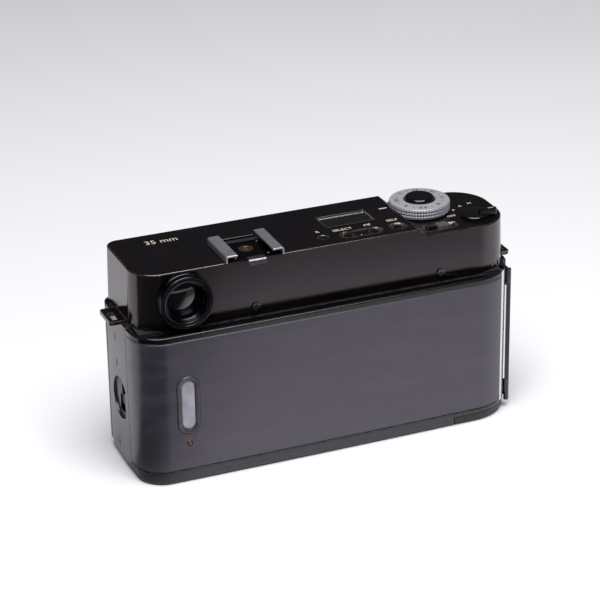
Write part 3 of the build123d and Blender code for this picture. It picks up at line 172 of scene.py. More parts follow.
# colour of the painted highlight strip on the door's rounded corner by the hinge
HIGHLIGHT_STRIP_COLOUR = (0.80, 0.77, 0.80)
HIGHLIGHT_STRIP_END = -66.6                             # the painted highlight strip stops here along X, in millimetres
LACQUER_DUST = (0.5, 0.49, 0.5)
PLASTIC_DUST = (0.45, 0.44, 0.44)
GLASS_DUST = (0.8, 0.8, 0.8)
FOAM_CELLS_PER_METRE = 2600.0
PEBBLES_PER_METRE = 900.0
TRACKS_PER_METRE = 260.0


def lacquer(name, colour, roughness, worn_and_highlit_colour, wear_and_highlight=0.5, grain=0.012, streaks=0.0, dust=0.25, highlight_strip_from=None,
            rub_and_highlight_mm=0.35, **uniform):
    """Black paint on metal: fine grain, wiping streaks, dust specks and rubbed edges, which are worn paint
    and, made wide and strong on the top cover, also a painted rim highlight.

    When the strip's start is given as an X in millimetres, a pale metallic strip from there out to the
    strip's end is a painted highlight of the rounded corner."""
    f = Finish(name, **uniform)
    cloud = f.noise(9.0, 4.0)
    wiped = f.noise(5.0, 5.0, (0.16, 0.5, 1.0))
    speck = f.specks(4.1, 0.045)
    # rubbed edges: worn paint, and where wide and strong a painted rim highlight
    rubbed_and_highlit = f.edges(rub_and_highlight_mm, 6.0) * f.noise(1.6, 4.0).above(0.3, 0.62) * wear_and_highlight
    tone = f.mix(cloud.above(0.3, 0.7), shade(colour, 0.85), shade(colour, 1.15))
    tone = f.mix(wiped.above(0.42, 0.7) * streaks, tone, shade(colour, 1.9))
    tone = f.mix(rubbed_and_highlit, tone, worn_and_highlit_colour)
    shine = rubbed_and_highlit * 0.8
    # pale metallic strip along the door's rounded corner: painted highlight, not bare metal
    if highlight_strip_from is not None:
        along = f.node("SeparateXYZ", {0: f.place}, out="X")
        painted = along.above((highlight_strip_from - 0.3) * MM, (highlight_strip_from + 0.1) * MM)
        highlight_strip = (1 - painted) * along.above(HIGHLIGHT_STRIP_END * MM, (HIGHLIGHT_STRIP_END + 0.3) * MM)
        tone = f.mix(highlight_strip, tone, HIGHLIGHT_STRIP_COLOUR)
        shine = (shine + highlight_strip).clamp()
    f.set("Base Color", f.mix(speck * dust, tone, LACQUER_DUST))
    f.set("Metallic", shine)
    dulled = roughness + (cloud - 0.5) * 0.1 + wiped.above(0.4, 0.75) * (streaks * 0.12)
    f.set("Roughness", (dulled + speck * 0.3).clamp())
    f.bump(f.noise(0.16, 2.0) * 0.7 + f.noise(0.9, 2.0) * 0.3, grain)
    return f.material


def turned_metal(name, colour, roughness, lines=(1, 1, 12), tarnish=(0.35, 0.33, 0.31), metallic=1.0):
    """Bare or plated metal with fine machining lines, light tarnish and bright edges."""
    f = Finish(name, Metallic=metallic)
    line = f.noise(1.4, 3.0, lines, 0.7)
    cloud = f.noise(2.5, 4.0)
    edge = f.edges(0.15, 5.0)
    tone = f.mix(cloud.above(0.42, 0.8) * 0.45, colour, tarnish)
    f.set("Base Color", f.mix(edge * 0.6, tone, tuple(min(1, c * 1.35) for c in colour)))
    f.set("Roughness", (roughness + (line - 0.5) * 0.16 + (cloud - 0.5) * 0.12 - edge * 0.08).clamp())
    f.bump(line, 0.006)
    return f.material


def moulding(name, colour, roughness, grain_mm=0.35, depth=0.012, polish=0.35, **uniform):
    """Moulded plastic: spark-eroded grain, handling polish on the edges, faint cloudiness."""
    f = Finish(name, **uniform)
    cloud = f.noise(4.0, 4.0)
    edge = f.edges(0.25, 5.0)
    speck = f.specks(3.3, 0.05)
    tone = f.mix(cloud.above(0.3, 0.75), shade(colour, 0.85), shade(colour, 1.2))
    tone = f.mix(edge * polish, tone, shade(colour, 2.4))
    f.set("Base Color", f.mix(speck * 0.2, tone, PLASTIC_DUST))
    f.set("Roughness", (roughness + (cloud - 0.5) * 0.14 - edge * (polish * 0.4)).clamp())
    cells = f.cells(1 / (grain_mm * MM))
    f.bump(cells * 0.6 + f.noise(grain_mm, 2.0) * 0.4, depth)
    return f.material


def optic(name, tint, film_nm):
    """Coated glass: uniform thin film, faint dust and smears."""
    f = Finish(name, Transmission_Weight=1.0, IOR=1.52, Thin_Film_Thickness=film_nm, Thin_Film_IOR=1.38)
    smear = f.noise(3.0, 4.0, (1, 1, 0.4))
    speck = f.specks(2.3, 0.03)
    f.set("Base Color", f.mix(speck * 0.5, tint, GLASS_DUST))
    f.set("Roughness", (smear.above(0.55, 0.85) * 0.05 + speck * 0.4).clamp())
    return f.material


def paint_print(name, colour):
    """Filled lettering: slightly uneven ink."""
    f = Finish(name, Specular_IOR_Level=0.3)
    ink = f.noise(0.25, 3.0)
    f.set("Base Color", f.mix(ink.above(0.35, 0.75), colour, shade(colour, 0.72)))
    f.set("Roughness", (0.5 + (ink - 0.5) * 0.2).clamp())
    f.bump(ink, 0.01)
    return f.material


def foam_cells(name, colour):
    """Open-celled foam of the light seals."""
    f = Finish(name, Specular_IOR_Level=0.2)
    cells = f.cells(FOAM_CELLS_PER_METRE)
    # cell pits darker and cell walls lighter: painted shade in the pits
    f.set("Base Color", f.mix(cells.above(0.1, 0.6), shade(colour, 0.4), shade(colour, 1.5)))
    f.set("Roughness", (0.85 + cells * 0.1).clamp())
    f.bump(cells, 0.12)
    return f.material


def pebbled_rubber(name, colour):
    """Grip covering: fine pebbles with valleys painted darker as shade and tops painted lighter, shiny
    where hands rub.
    """
    f = Finish(name, Specular_IOR_Level=0.4)
    cells = f.node("TexVoronoi", {"Vector": f.place, "Scale": PEBBLES_PER_METRE, "Randomness": 0.85},
                   out="Distance", feature="SMOOTH_F1")
    cloud = f.noise(8.0, 3.0)
    height = 1 - cells.above(0.05, 0.75)
    # darker valleys and lighter pebble tops: painted shade
    f.set("Base Color", f.mix(height * 0.7, shade(colour, 0.5), shade(colour, 1.4)))
    f.set("Roughness", (0.62 + (cloud - 0.5) * 0.2 - height * 0.12).clamp())
    f.bump(height * 0.85 + f.noise(0.2, 2.0) * 0.15, 0.16)
    return f.material


def circuit_board(name):
    """Green board with a fine net of gilt tracks."""
    f = Finish(name, Specular_IOR_Level=0.5, Coat_Weight=0.3)
    track = f.node("TexBrick", {"Vector": f.place, "Scale": TRACKS_PER_METRE,
                                "Color1": (0.012, 0.11, 0.045, 1), "Color2": (0.015, 0.14, 0.06, 1),
                                "Mortar": (0.3, 0.24, 0.08, 1), "Mortar Size": 0.03}, out="Color")
    f.set("Base Color", f.mix(f.noise(2.0).above(0.4, 0.7) * 0.4, track, (0.01, 0.06, 0.03)))
    f.set("Roughness", (0.35 + f.noise(1.0) * 0.15).clamp())
    f.bump(f.noise(0.5, 2.0), 0.03)
    return f.material


FINISH = {
    # top cover: wide, strong rubbed edges in a warm pale colour, partly wear and partly a painted rim
    # highlight
    "cover_black": lacquer("cover_lacquer", (0.0034, 0.0027, 0.0030), 0.17, (0.34, 0.28, 0.25), wear_and_highlight=0.6,
                           rub_and_highlight_mm=0.8, Specular_IOR_Level=0.85, Specular_Tint=(1.0, 0.86, 0.93, 1.0)),
    # door rim: the pale strip from X -63 mm to the hinge end is a painted highlight
    "door_black": lacquer("door_rim_lacquer", (0.0022, 0.0022, 0.0028), 0.16, (0.42, 0.40, 0.42), wear_and_highlight=0.35,
                          highlight_strip_from=-63.0),
    "door_skin": lacquer("door_panel_satin", (0.025, 0.0225, 0.031), 0.36, (0.32, 0.31, 0.34), wear_and_highlight=0.3,
                         grain=0.02, streaks=0.45, dust=0.5, Specular_IOR_Level=0.95,
                         Specular_Tint=(0.93, 0.87, 1.0, 1.0)),
    "body_black": lacquer("body_satin", (0.009, 0.0085, 0.010), 0.30, (0.36, 0.34, 0.34), wear_and_highlight=0.3,
                          dust=0.35, Specular_IOR_Level=0.8, Specular_Tint=(0.95, 0.88, 1.0, 1.0)),
    "front_black": lacquer("front_lacquer", (0.0035, 0.0033, 0.004), 0.34, (0.2, 0.19, 0.19), wear_and_highlight=0.2,
                           dust=0.3, Specular_IOR_Level=0.2),
    "cast_body": lacquer("chassis_black", (0.014, 0.014, 0.015), 0.55, (0.3, 0.3, 0.3), wear_and_highlight=0.15,
                         grain=0.05),
    "lens_black": turned_metal("black_anodising", (0.035, 0.035, 0.042), 0.26, tarnish=(0.02, 0.02, 0.024)),
    "screw_black": turned_metal("blackened_screw", (0.15, 0.14, 0.16), 0.25, tarnish=(0.05, 0.05, 0.05)),
    "silver": turned_metal("satin_chrome", (0.40, 0.41, 0.44), 0.42, tarnish=(0.27, 0.27, 0.29),
                           metallic=0.35),
    "bright_steel": turned_metal("plated_steel", (0.42, 0.42, 0.44), 0.3, (1, 9, 1), (0.14, 0.135, 0.14),
                                 metallic=0.75),
    # bright metal for the display lip: painted highlight of a black bevel
    "bright_trim": turned_metal("window_trim_painted_highlight", (0.50, 0.48, 0.47), 0.25),
    "dark_plate": turned_metal("shoe_floor_dark_plate", (0.05, 0.048, 0.05), 0.2, (1, 9, 1),
                               (0.03, 0.03, 0.03)),
    "spring_steel": turned_metal("spring_steel", (0.26, 0.26, 0.29), 0.36, (9, 1, 1), (0.12, 0.12, 0.13)),
    "blade_steel": turned_metal("blackened_steel", (0.10, 0.10, 0.11), 0.4, (9, 1, 1), (0.05, 0.05, 0.05)),
    "brass": turned_metal("brass", (0.62, 0.46, 0.20), 0.3, tarnish=(0.28, 0.2, 0.1)),
    "copper": turned_metal("copper_rivet", (0.34, 0.13, 0.09), 0.35, tarnish=(0.16, 0.06, 0.04)),
    "black_plastic": moulding("black_moulding", (0.012, 0.012, 0.013), 0.42),
    "gloss_black": moulding("polished_button", (0.004, 0.004, 0.005), 0.09, depth=0.002, polish=0.1),
    "slider_grey": moulding("warm_grey_moulding", (0.11, 0.095, 0.085), 0.4),
    "insulator_brown": moulding("insulator_brown", (0.030, 0.017, 0.012), 0.35),
    "finder_mask": moulding("finder_mask", (0.016, 0.011, 0.009), 0.5),
    "gear_white": moulding("acetal_white", (0.62, 0.60, 0.54), 0.4),
    "pane_grey": moulding("film_window_pane", (0.30, 0.285, 0.34), 0.2, 0.8, 0.004, 0.1, Coat_Weight=0.6,
                          Coat_Roughness=0.08),
    "display_glass": moulding("display_glass", (0.006, 0.007, 0.007), 0.06, 2.0, 0.001, 0.0,
                              Coat_Weight=1.0),
    # eyepiece glass: opaque near-black, a painted dark stand-in for the shaded finder behind it
    "eye_glass": moulding("eyepiece_glass_painted_dark", (0.0025, 0.0024, 0.004), 0.03, 2.0, 0.0, 0.0,
                          Coat_Weight=1.0, Coat_Roughness=0.02),
    "grip_rubber": pebbled_rubber("grip_rubber", (0.014, 0.014, 0.015)),
    "foam": foam_cells("light_seal_foam", (0.015, 0.015, 0.015)),
    "board_green": circuit_board("circuit_board"),
    "glass": optic("coated_glass", (0.92, 0.93, 0.96), 330.0),
    "white_print": paint_print("cream_print", (0.60, 0.57, 0.46)),
    "dark_print": paint_print("dark_filled_engraving", (0.02, 0.02, 0.023)),
}


# ------------------------------------------------------------------ carried-over parts
def box_mm(node):
    """Lowest and highest corners of a CAD part, in millimetres."""
    low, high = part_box(node)
    return low / MM, high / MM


def dress(node, finish, bevel):
    """Finish on a carried-over part, with its sharp edges eased by bevel millimetres."""
    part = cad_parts[node]
    part.data.materials.clear()
    part.data.materials.append(FINISH[finish])
    if bevel:
        weld = part.modifiers.new("weld", "WELD")
        weld.merge_threshold = 1e-6
        ease = part.modifiers.new("eased_edges", "BEVEL")
        ease.width = bevel * MM
        ease.segments = 2
        ease.limit_method = "ANGLE"
        ease.angle_limit = math.radians(38)
        ease.miter_outer = "MITER_ARC"
        part.modifiers.new("even_shading", "WEIGHTED_NORMAL").keep_sharp = False


# finish and edge easing in millimetres of every CAD part; the ones replaced below are dressed too
DRESS = {
    "chassis": ("cast_body", 0), "front_cover": ("front_black", 0.12), "front_grip": ("grip_rubber", 0.3),
    "end_plate_latch_side": ("body_black", 0.12), "end_plate_hinge_side": ("body_black", 0.12),
    "case_screws": ("screw_black", 0.06), "strap_lugs": ("cover_black", 0.2),
    "top_cover": ("cover_black", 0.08), "eyepiece_ring": ("lens_black", 0), "eyepiece_lens": ("glass", 0),
    "finder_block": ("black_plastic", 0.15), "finder_window": ("glass", 0.2),
    "front_windows": ("glass", 0), "display_window": ("display_glass", 0),
    "main_board": ("board_green", 0), "accessory_shoe": ("bright_steel", 0.1),
    "shoe_spring": ("spring_steel", 0), "shoe_contact": ("black_plastic", 0.05),
    "release_button": ("gloss_black", 0), "aperture_dial": ("silver", 0),
    "mode_switch": ("lens_black", 0.15), "setting_slider": ("black_plastic", 0.1),
    "select_button": ("black_plastic", 0), "focus_button": ("black_plastic", 0),
    "timer_button": ("black_plastic", 0), "rewind_button": ("black_plastic", 0),
    "bottom_cover": ("body_black", 0.12), "bottom_plate": ("body_black", 0.12),
    "tripod_socket": ("brass", 0), "battery_lid": ("black_plastic", 0.12),
    "lid_latch": ("black_plastic", 0.15), "hinge_knuckles": ("body_black", 0.1),
    "hinge_pin": ("spring_steel", 0), "door_shell": ("door_black", 0.1),
    "door_panel": ("door_skin", 0.08), "door_catch": ("spring_steel", 0.1), "door_seals": ("foam", 0.2),
    "door_rivet": ("copper", 0.1), "window_frame": ("door_black", 0.15),
    "window_pane": ("pane_grey", 0.1), "pressure_plate": ("blade_steel", 0.15),
    "pressure_spring": ("spring_steel", 0.03), "door_release": ("black_plastic", 0.25),
    "takeup_spool": ("black_plastic", 0.1), "wind_motor": ("spring_steel", 0.1),
    "motor_pinion": ("brass", 0), "idler_gear": ("gear_white", 0), "sprocket": ("bright_steel", 0),
    "rewind_fork": ("gear_white", 0), "rewind_pinion": ("brass", 0),
    "rewind_motor": ("spring_steel", 0.1), "lens_barrel": ("lens_black", 0),
    "lens_hood": ("lens_black", 0), "focus_barrel": ("lens_black", 0), "front_ring": ("lens_black", 0),
    "front_element": ("glass", 0), "rear_element": ("glass", 0), "shutter_housing": ("black_plastic", 0),
    "shutter_blade_a": ("blade_steel", 0), "shutter_blade_b": ("blade_steel", 0),
}
for dressed_node, (node_finish, node_bevel) in DRESS.items():
    dress(dressed_node, node_finish, node_bevel)


# ------------------------------------------------------------------ mesh work, in millimetres
UP_READ_FROM_BEHIND = Matrix(((-1, 0, 0), (0, -1, 0), (0, 0, 1)))
UPRIGHT = Matrix.Identity(3)
FACING_BACK = Matrix(((-1, 0, 0), (0, 0, 1), (0, 1, 0)))
FACING_FRONT = Matrix(((1, 0, 0), (0, 0, -1), (0, 1, 0)))
FACING_LATCH_END = Matrix(((0, 0, 1), (1, 0, 0), (0, 1, 0)))


def at(x, y, z, turn=UPRIGHT):
    """Place and direction of a part whose own Z is its outward axis."""
    matrix = turn.to_4x4()
    matrix.translation = Vector((x, y, z))
    return matrix


def rounded(points, steps=4):
    """Closed outline whose corners (x, y, radius) are turned into arcs."""
    outline = []
    for i, corner in enumerate(points):
        here = Vector(corner[:2])
        radius = corner[2] if len(corner) > 2 else 0
        before = Vector(points[i - 1][:2]) - here
        after = Vector(points[(i + 1) % len(points)][:2]) - here
        if not radius:
            outline.append(here)
            continue
        a, b = before.normalized(), after.normalized()
        half = math.acos(max(-1, min(1, a.dot(b)))) / 2
        reach = radius / math.tan(half)
        centre = here + (a + b).normalized() * (radius / math.sin(half))
        start, end = here + a * reach - centre, here + b * reach - centre
        angle = start.angle_signed(end) * -1
        for k in range(steps + 1):
            c, s = math.cos(angle * k / steps), math.sin(angle * k / steps)
            outline.append(centre + Vector((start.x * c - start.y * s, start.x * s + start.y * c)))
    return [p for i, p in enumerate(outline) if (p - outline[i - 1]).length > 1e-3]


def oblong(length, width, steps=16):
    """Outline with round ends, longer along X."""
    radius = min(length, width) / 2
    return rounded([(length / 2, width / 2, radius), (-length / 2, width / 2, radius),
                    (-length / 2, -width / 2, radius), (length / 2, -width / 2, radius)], steps)


def inset(outline, distance):
    """Outline (counter-clockwise) moved inwards by the distance."""
    moved = []
    for i, point in enumerate(outline):
        before = (point - outline[i - 1])
        after = (outline[(i + 1) % len(outline)] - point)
        normals = [Vector((-e.y, e.x)).normalized() for e in (before, after) if e.length > 1e-9]
        normal = sum(normals, Vector((0, 0)))
        normal = normal / max(1e-9, normal.length)
        moved.append(point + normal * (distance / max(0.3, normal.dot(normals[0]))))
    return moved


def skin(rings, closed=False, caps=True):
    """Mesh over rings of points; a one-point ring is a tip."""
    bm = bmesh.new()
    rows = [[bm.verts.new(p) for p in ring] for ring in rings]
    steps = max(len(row) for row in rows)
    for a, b in zip(rows, rows[1:] + rows[:1]) if closed else zip(rows, rows[1:]):
        for i in range(steps):
            j = (i + 1) % steps
            corners = dict.fromkeys((a[i % len(a)], a[j % len(a)], b[j % len(b)], b[i % len(b)]))
            if len(corners) > 2:
                bm.faces.new(corners)
    if caps and not closed:
        for row in (rows[0], rows[-1]):
            if len(row) > 2:
                bm.faces.new(row)
    return bm


def lathe(profile, steps=96, teeth=0, depth=0.0):
    """Turned mesh from (radius, height) points.

    A third value from 0 to 1 on a point is how proud the teeth of a knurl stand there."""
    rings = []
    for radius, height, *proud in profile:
        if radius == 0:
            rings.append([(0, 0, height)])
            continue
        ring = []
        for i in range(steps):
            angle = math.tau * i / steps
            r = radius
            if proud:
                tooth = math.sin(math.pi * ((i * teeth / steps) % 1)) ** 0.7
                r -= depth * (1 - proud[0] * tooth)
            ring.append((r * math.cos(angle), r * math.sin(angle), height))
        rings.append(ring)
    return skin(rings, closed=True)


def plate(outline, low, high, edge=0.1):
    """Flat part with its upper edge eased."""
    rings = [[(p.x, p.y, low) for p in outline]]
    for into, down in ((0, 1), (0.3, 0.3), (1, 0)):
        ring = inset(outline, edge * into) if into else outline
        rings.append([(p.x, p.y, high - edge * down) for p in ring])
    return skin(rings)


def trim(outline, section):
    """Frame: a section of (outward, height) points carried round an outline."""
    rings = []
    for outward, height in section:
        ring = inset(outline, -outward) if outward else outline
        rings.append([(p.x, p.y, height) for p in ring])
    return skin(rings, closed=True)


def bent_sheet(path, thickness, width, radius=0.4, steps=4):
    """Sheet of a thickness bent along a path of (x, z) points, of a width along Y."""
    line = []
    for i, (x, z) in enumerate(path):
        here = Vector((x, z))
        if i in (0, len(path) - 1):
            line.append(here)
            continue
        a, b = Vector(path[i - 1]) - here, Vector(path[i + 1]) - here
        reach = min(radius, a.length / 2, b.length / 2)
        for k in range(steps + 1):
            t = k / steps
            line.append((here + a.normalized() * reach) * (1 - t) ** 2 + here * 2 * t * (1 - t)
                        + (here + b.normalized() * reach) * t ** 2)
    sides = ([], [])
    for i, point in enumerate(line):
        run = (line[min(i + 1, len(line) - 1)] - line[max(i - 1, 0)]).normalized()
        normal = Vector((-run.y, run.x)) * (thickness / 2)
        sides[0].append(point + normal)
        sides[1].append(point - normal)
    section = sides[0] + sides[1][::-1]
    middle = line + line[::-1]
    edge, half = 0.07, width / 2
    rings = []
    for y, into in ((-half, edge), (-half + edge, 0), (half - edge, 0), (half, edge)):
        ring = [p + (m - p).normalized() * into if into else p for p, m in zip(section, middle)]
        rings.append([(p.x, y, p.y) for p in ring])
    return skin(rings)


def joined(*parts):
    """One bmesh from several (bmesh, matrix) pairs."""
    whole = bmesh.new()
    for bm, matrix in parts:
        bm.transform(matrix)
        mesh = bpy.data.meshes.new("joined")
        bm.to_mesh(mesh)
        bm.free()
        whole.from_mesh(mesh)
        bpy.data.meshes.remove(mesh)
    return whole


SHARP = math.radians(32)                     # a steeper edge than this is shaded hard


def piece(name, bm, matrix, finish, body, replaces=()):
    """Puts a finished mesh in place on a body, instead of the CAD parts it stands for."""
    bmesh.ops.remove_doubles(bm, verts=bm.verts, dist=1e-5)
    bmesh.ops.recalc_face_normals(bm, faces=bm.faces)
    for face in bm.faces:
        face.smooth = True
    for edge in bm.edges:
        if len(edge.link_faces) == 2 and edge.calc_face_angle(0) > SHARP:
            edge.smooth = False
    bm.transform(Matrix.Scale(MM, 4) @ matrix)
    mesh = bpy.data.meshes.new(name)
    bm.to_mesh(mesh)
    bm.free()
    mesh.materials.append(finish)
    part = bpy.data.objects.new(name, mesh)
    part.modifiers.new("even_shading", "WEIGHTED_NORMAL").keep_sharp = True
    SCENE.collection.objects.link(part)
    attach(part, body)
    if replaces:
        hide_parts(*replaces)
    return part


def letters(text, size, bold):
    """Raised type as a bmesh, centred on its own origin."""
    curve = bpy.data.curves.new("type", "FONT")
    curve.body = text
    curve.size = size
    curve.align_x = "CENTER"
    curve.align_y = "CENTER"
    curve.extrude = 0.01
    curve.offset = bold
    curve.resolution_u = 4
    holder = bpy.data.objects.new("type", curve)
    SCENE.collection.objects.link(holder)
    bpy.context.view_layer.update()
    mesh = bpy.data.meshes.new_from_object(holder.evaluated_get(bpy.context.evaluated_depsgraph_get()))
    bm = bmesh.new()
    bm.from_mesh(mesh)
    bpy.data.objects.remove(holder)
    bpy.data.curves.remove(curve)
    bpy.data.meshes.remove(mesh)
    return bm


def printed_line(length, width):
    """Printed index line with round ends."""
    return plate(oblong(length, width, 5), 0, 0.03, 0.01)


# ------------------------------------------------------------------ levels and centres from the CAD
TOP = box_mm("top_cover")[1].z
STEP = 2.87                                  # the control deck lies this far below the top
DECK = TOP - STEP
dial_low, dial_high = box_mm("aperture_dial")
DIAL = (dial_low + dial_high) / 2
DIAL_R = (dial_high.x - dial_low.x) / 2


def aperture_dial():
    """Silver dial: three rows of beads below a shallow numbered cone."""
    foot, crown = DECK + 0.5, dial_high.z
    beads_low, row, rows, teeth = foot + 0.2, 1.08, 3, 64
    profile = [(4.54, crown - 2.0), (4.54, dial_low.z), (6.3, dial_low.z), (6.4, dial_low.z + 0.1),
               (6.4, foot), (DIAL_R - 0.55, foot), (DIAL_R - 0.35, foot + 0.1), (DIAL_R - 0.35, beads_low)]
    for bead in range(rows):
        for k in range(7):
            swell = math.sin(math.pi * k / 6) ** 0.7
            profile.append((DIAL_R, beads_low + row * (bead + k / 6), swell))
    shoulder = beads_low + row * rows
    outer_r, outer_z = DIAL_R - 0.4, shoulder + 0.24
    inner_r, inner_z = 5.95, crown - 0.06
    profile += [(DIAL_R - 0.3, shoulder + 0.02), (DIAL_R - 0.25, shoulder + 0.12), (outer_r, outer_z),
                (inner_r, inner_z), (5.82, crown), (5.7, crown - 0.06), (5.65, crown - 0.25),
                (5.65, crown - 2.0)]
    body = lathe(profile, teeth * 6, teeth, 0.5)
    piece("aperture_dial_turned", body, at(DIAL.x, DIAL.y, 0), FINISH["silver"], "dial",
          ["aperture_dial"])
    slope = Matrix.Rotation(math.atan2(inner_z - outer_z, outer_r - inner_r), 4, "X")
    lift = Matrix.Translation((0, -(outer_r + inner_r) / 2, (outer_z + inner_z) / 2 + 0.01))
    marks = []
    for i, label in enumerate(("2", "2.8", "4", "5.6", "8", "11", "16", "22")):
        dot = lathe([(0, 0.02), (0.24, 0.02), (0.24, -0.02), (0, -0.02)], 12)
        for degrees, mark in ((i * 45 + 30, letters(label, 2.3, 0.03)), (i * 45 + 52.5, dot)):
            marks.append((mark, Matrix.Rotation(math.radians(degrees), 4, "Z") @ lift @ slope))
    piece("aperture_numbers", joined(*marks), at(DIAL.x, DIAL.y, 0), FINISH["dark_print"], "dial")


def release_button():
    """Domed shutter release with a dished touch spot and a stepped rim."""
    low, high = box_mm("release_button")
    top = high.z
    profile = [(0, top - 0.62), (2.0, top - 0.6), (3.2, top - 0.52), (4.0, top - 0.46), (4.5, top - 0.52),
               (4.85, top - 0.75), (5.08, top - 1.1), (5.2, top - 1.6), (5.2, top - 2.6), (3.4, top - 2.6),
               (3.4, low.z), (0, low.z)]
    piece("release_button_domed", lathe(profile, 96), at(DIAL.x, DIAL.y, 0), FINISH["gloss_black"],
          "shutter_release", ["release_button"])


def key(name, node, body):
    """Small round key with a dished top and a polished rim."""
    low, high = box_mm(node)
    centre = (low + high) / 2
    top = high.z
    profile = [(0, top - 0.1), (0.7, top - 0.08), (1.0, top), (1.2, top - 0.02), (1.4, top - 0.12),
               (1.5, top - 0.35), (1.5, top - 2.3), (2.2, top - 2.3), (2.2, low.z), (0, low.z)]
    piece(name, lathe(profile, 48), at(centre.x, centre.y, 0), FINISH["gloss_black"], body,
          [node])


def main_switch():
    """Switch disc with a raised finger bar that runs out past its edge."""
    low, high = box_mm("mode_switch")
    radius, bar_y = 5.0, 1.9
    x, y = high.x - radius, (low.y + high.y) / 2
    base = DECK + 0.15
    disc = lathe([(0, base + 1.25), (3.3, base + 1.25), (3.7, base + 1.15), (4.6, base + 1.1),
                  (4.85, base + 1.0), (radius, base + 0.8), (radius, base), (2.0, base), (2.0, low.z),
                  (0, low.z)], 96)
    outline = rounded([(0, -1.3, 0.5), (6.6, -1.0, 0.9), (6.6, 1.0, 0.9), (0, 1.3, 0.5)], 5)
    bar = plate(outline, base + 0.3, high.z, 0.4)
    turned = Matrix.Translation((-1.0, bar_y, 0)) @ Matrix.Rotation(math.radians(180), 4, "Z")
    piece("mode_switch_lever", joined((disc, Matrix()), (bar, turned)), at(x, y, 0),
          FINISH["gloss_black"], "main_switch", ["mode_switch"])
    mark = printed_line(2.2, 0.35)
    piece("mode_switch_mark", mark, at(x - 5.4, y + bar_y, high.z), FINISH["white_print"], "main_switch")


def setting_slider():
    """Setting slide: a polished pad with a ribbed end."""
    low, high = box_mm("setting_slider")
    x, y = (low.x + high.x) / 2, (low.y + high.y) / 2
    pad = plate(oblong(4.2, 3.0, 10), DECK + 0.04, DECK + 0.95, 0.5)
    stem = plate(rounded([(1.0, -0.5), (1.0, 0.5), (-1.0, 0.5), (-1.0, -0.5)]), low.z, DECK - 0.3, 0.01)
    both = joined((pad, Matrix.Translation((3.0, 0, 0))), (stem, Matrix()))
    piece("setting_slider_pad", both, at(x, y, 0), FINISH["gloss_black"], "plus_minus_slider",
          ["setting_slider"])
    ribs = []
    for k in range(5):
        rib = plate(rounded([(0.3, 1.4, 0.1), (-0.3, 1.4, 0.1), (-0.3, -1.4, 0.1), (0.3, -1.4, 0.1)], 2),
                    DECK - 0.2, DECK + 1.15, 0.18)
        ribs.append((rib, Matrix.Translation((0.6 - 0.72 * k, 0, 0))))
    bed = plate(rounded([(1.0, 1.5, 0.3), (-2.7, 1.5, 0.3), (-2.7, -1.5, 0.3), (1.0, -1.5, 0.3)], 3),
                DECK - 0.4, DECK + 0.75, 0.1)
    piece("setting_slider_ribs", joined(*ribs, (bed, Matrix())), at(x, y, 0), FINISH["slider_grey"],
          "plus_minus_slider")


def shoe_rails(low, high, x, y):
    """Two folded rails of one plated sheet."""
    gauge, lip_edge = 0.6, 6.3
    t = gauge / 2
    wall, top, foot = (high.x - low.x) / 2 - t, high.z - t, low.z + 0.2
    rails = []
    for side in (-1, 1):
        path = [(side * lip_edge, top), (side * wall, top), (side * wall, foot)]
        rails.append((bent_sheet(path, gauge, high.y - low.y, 0.5), Matrix()))
    piece("shoe_rails", joined(*rails), at(x, y, 0), FINISH["bright_steel"], "body",
          ["accessory_shoe"])


def shoe_floor(low, high, x, y, floor):
    """Dark floor plate with a stop across its front and four screws."""
    half, end = (high.x - low.x) / 2 - 0.6, (high.y - low.y) / 2
    outline = rounded([(half, end - 0.4, 0.3), (-half, end - 0.4, 0.3), (-half, 0.2 - end, 0.3),
                       (half, 0.2 - end, 0.3)])
    bed = plate(outline, low.z + 0.02, floor, 0.05)
    stop = bent_sheet([(-6.2, 0), (6.2, 0)], 0.6, 1.1)
    upright = Matrix.Translation((0, 0.35 - end, low.z + 0.75)) @ Matrix.Rotation(math.pi / 2, 4, "X")
    parts = [(bed, Matrix()), (stop, upright)]
    for sx, sy in ((-5.9, -5.2), (5.9, -5.2), (-5.9, 5.6), (5.9, 5.6)):
        head = lathe([(0, 0.1), (0.35, 0.1), (0.45, 0.28), (1.0, 0.3), (1.15, 0.2), (1.2, 0), (0, 0)], 32)
        parts.append((head, Matrix.Translation((sx, sy, floor))))
    piece("shoe_floor", joined(*parts), at(x, y, 0), FINISH["dark_plate"], "body")


def shoe_contact(z):
    """Brass centre contact in an insulating collar."""
    low, high = box_mm("shoe_contact")
    x, y, foot = (low.x + high.x) / 2, (low.y + high.y) / 2, low.z
    collar = lathe([(1.35, z + 0.1), (1.5, z + 0.27), (2.2, z + 0.29), (2.5, z + 0.2), (2.55, z),
                    (2.5, foot), (1.2, foot), (1.2, z + 0.05)], 64)
    piece("shoe_insulator", collar, at(x, y, 0), FINISH["insulator_brown"], "body",
          ["shoe_contact"])
    pin = lathe([(0, z + 0.26), (0.6, z + 0.24), (1.0, z + 0.12), (1.12, z - 0.1), (1.12, foot),
                 (0, foot)], 48)
    piece("shoe_centre_contact", pin, at(x, y, 0), FINISH["brass"], "body")


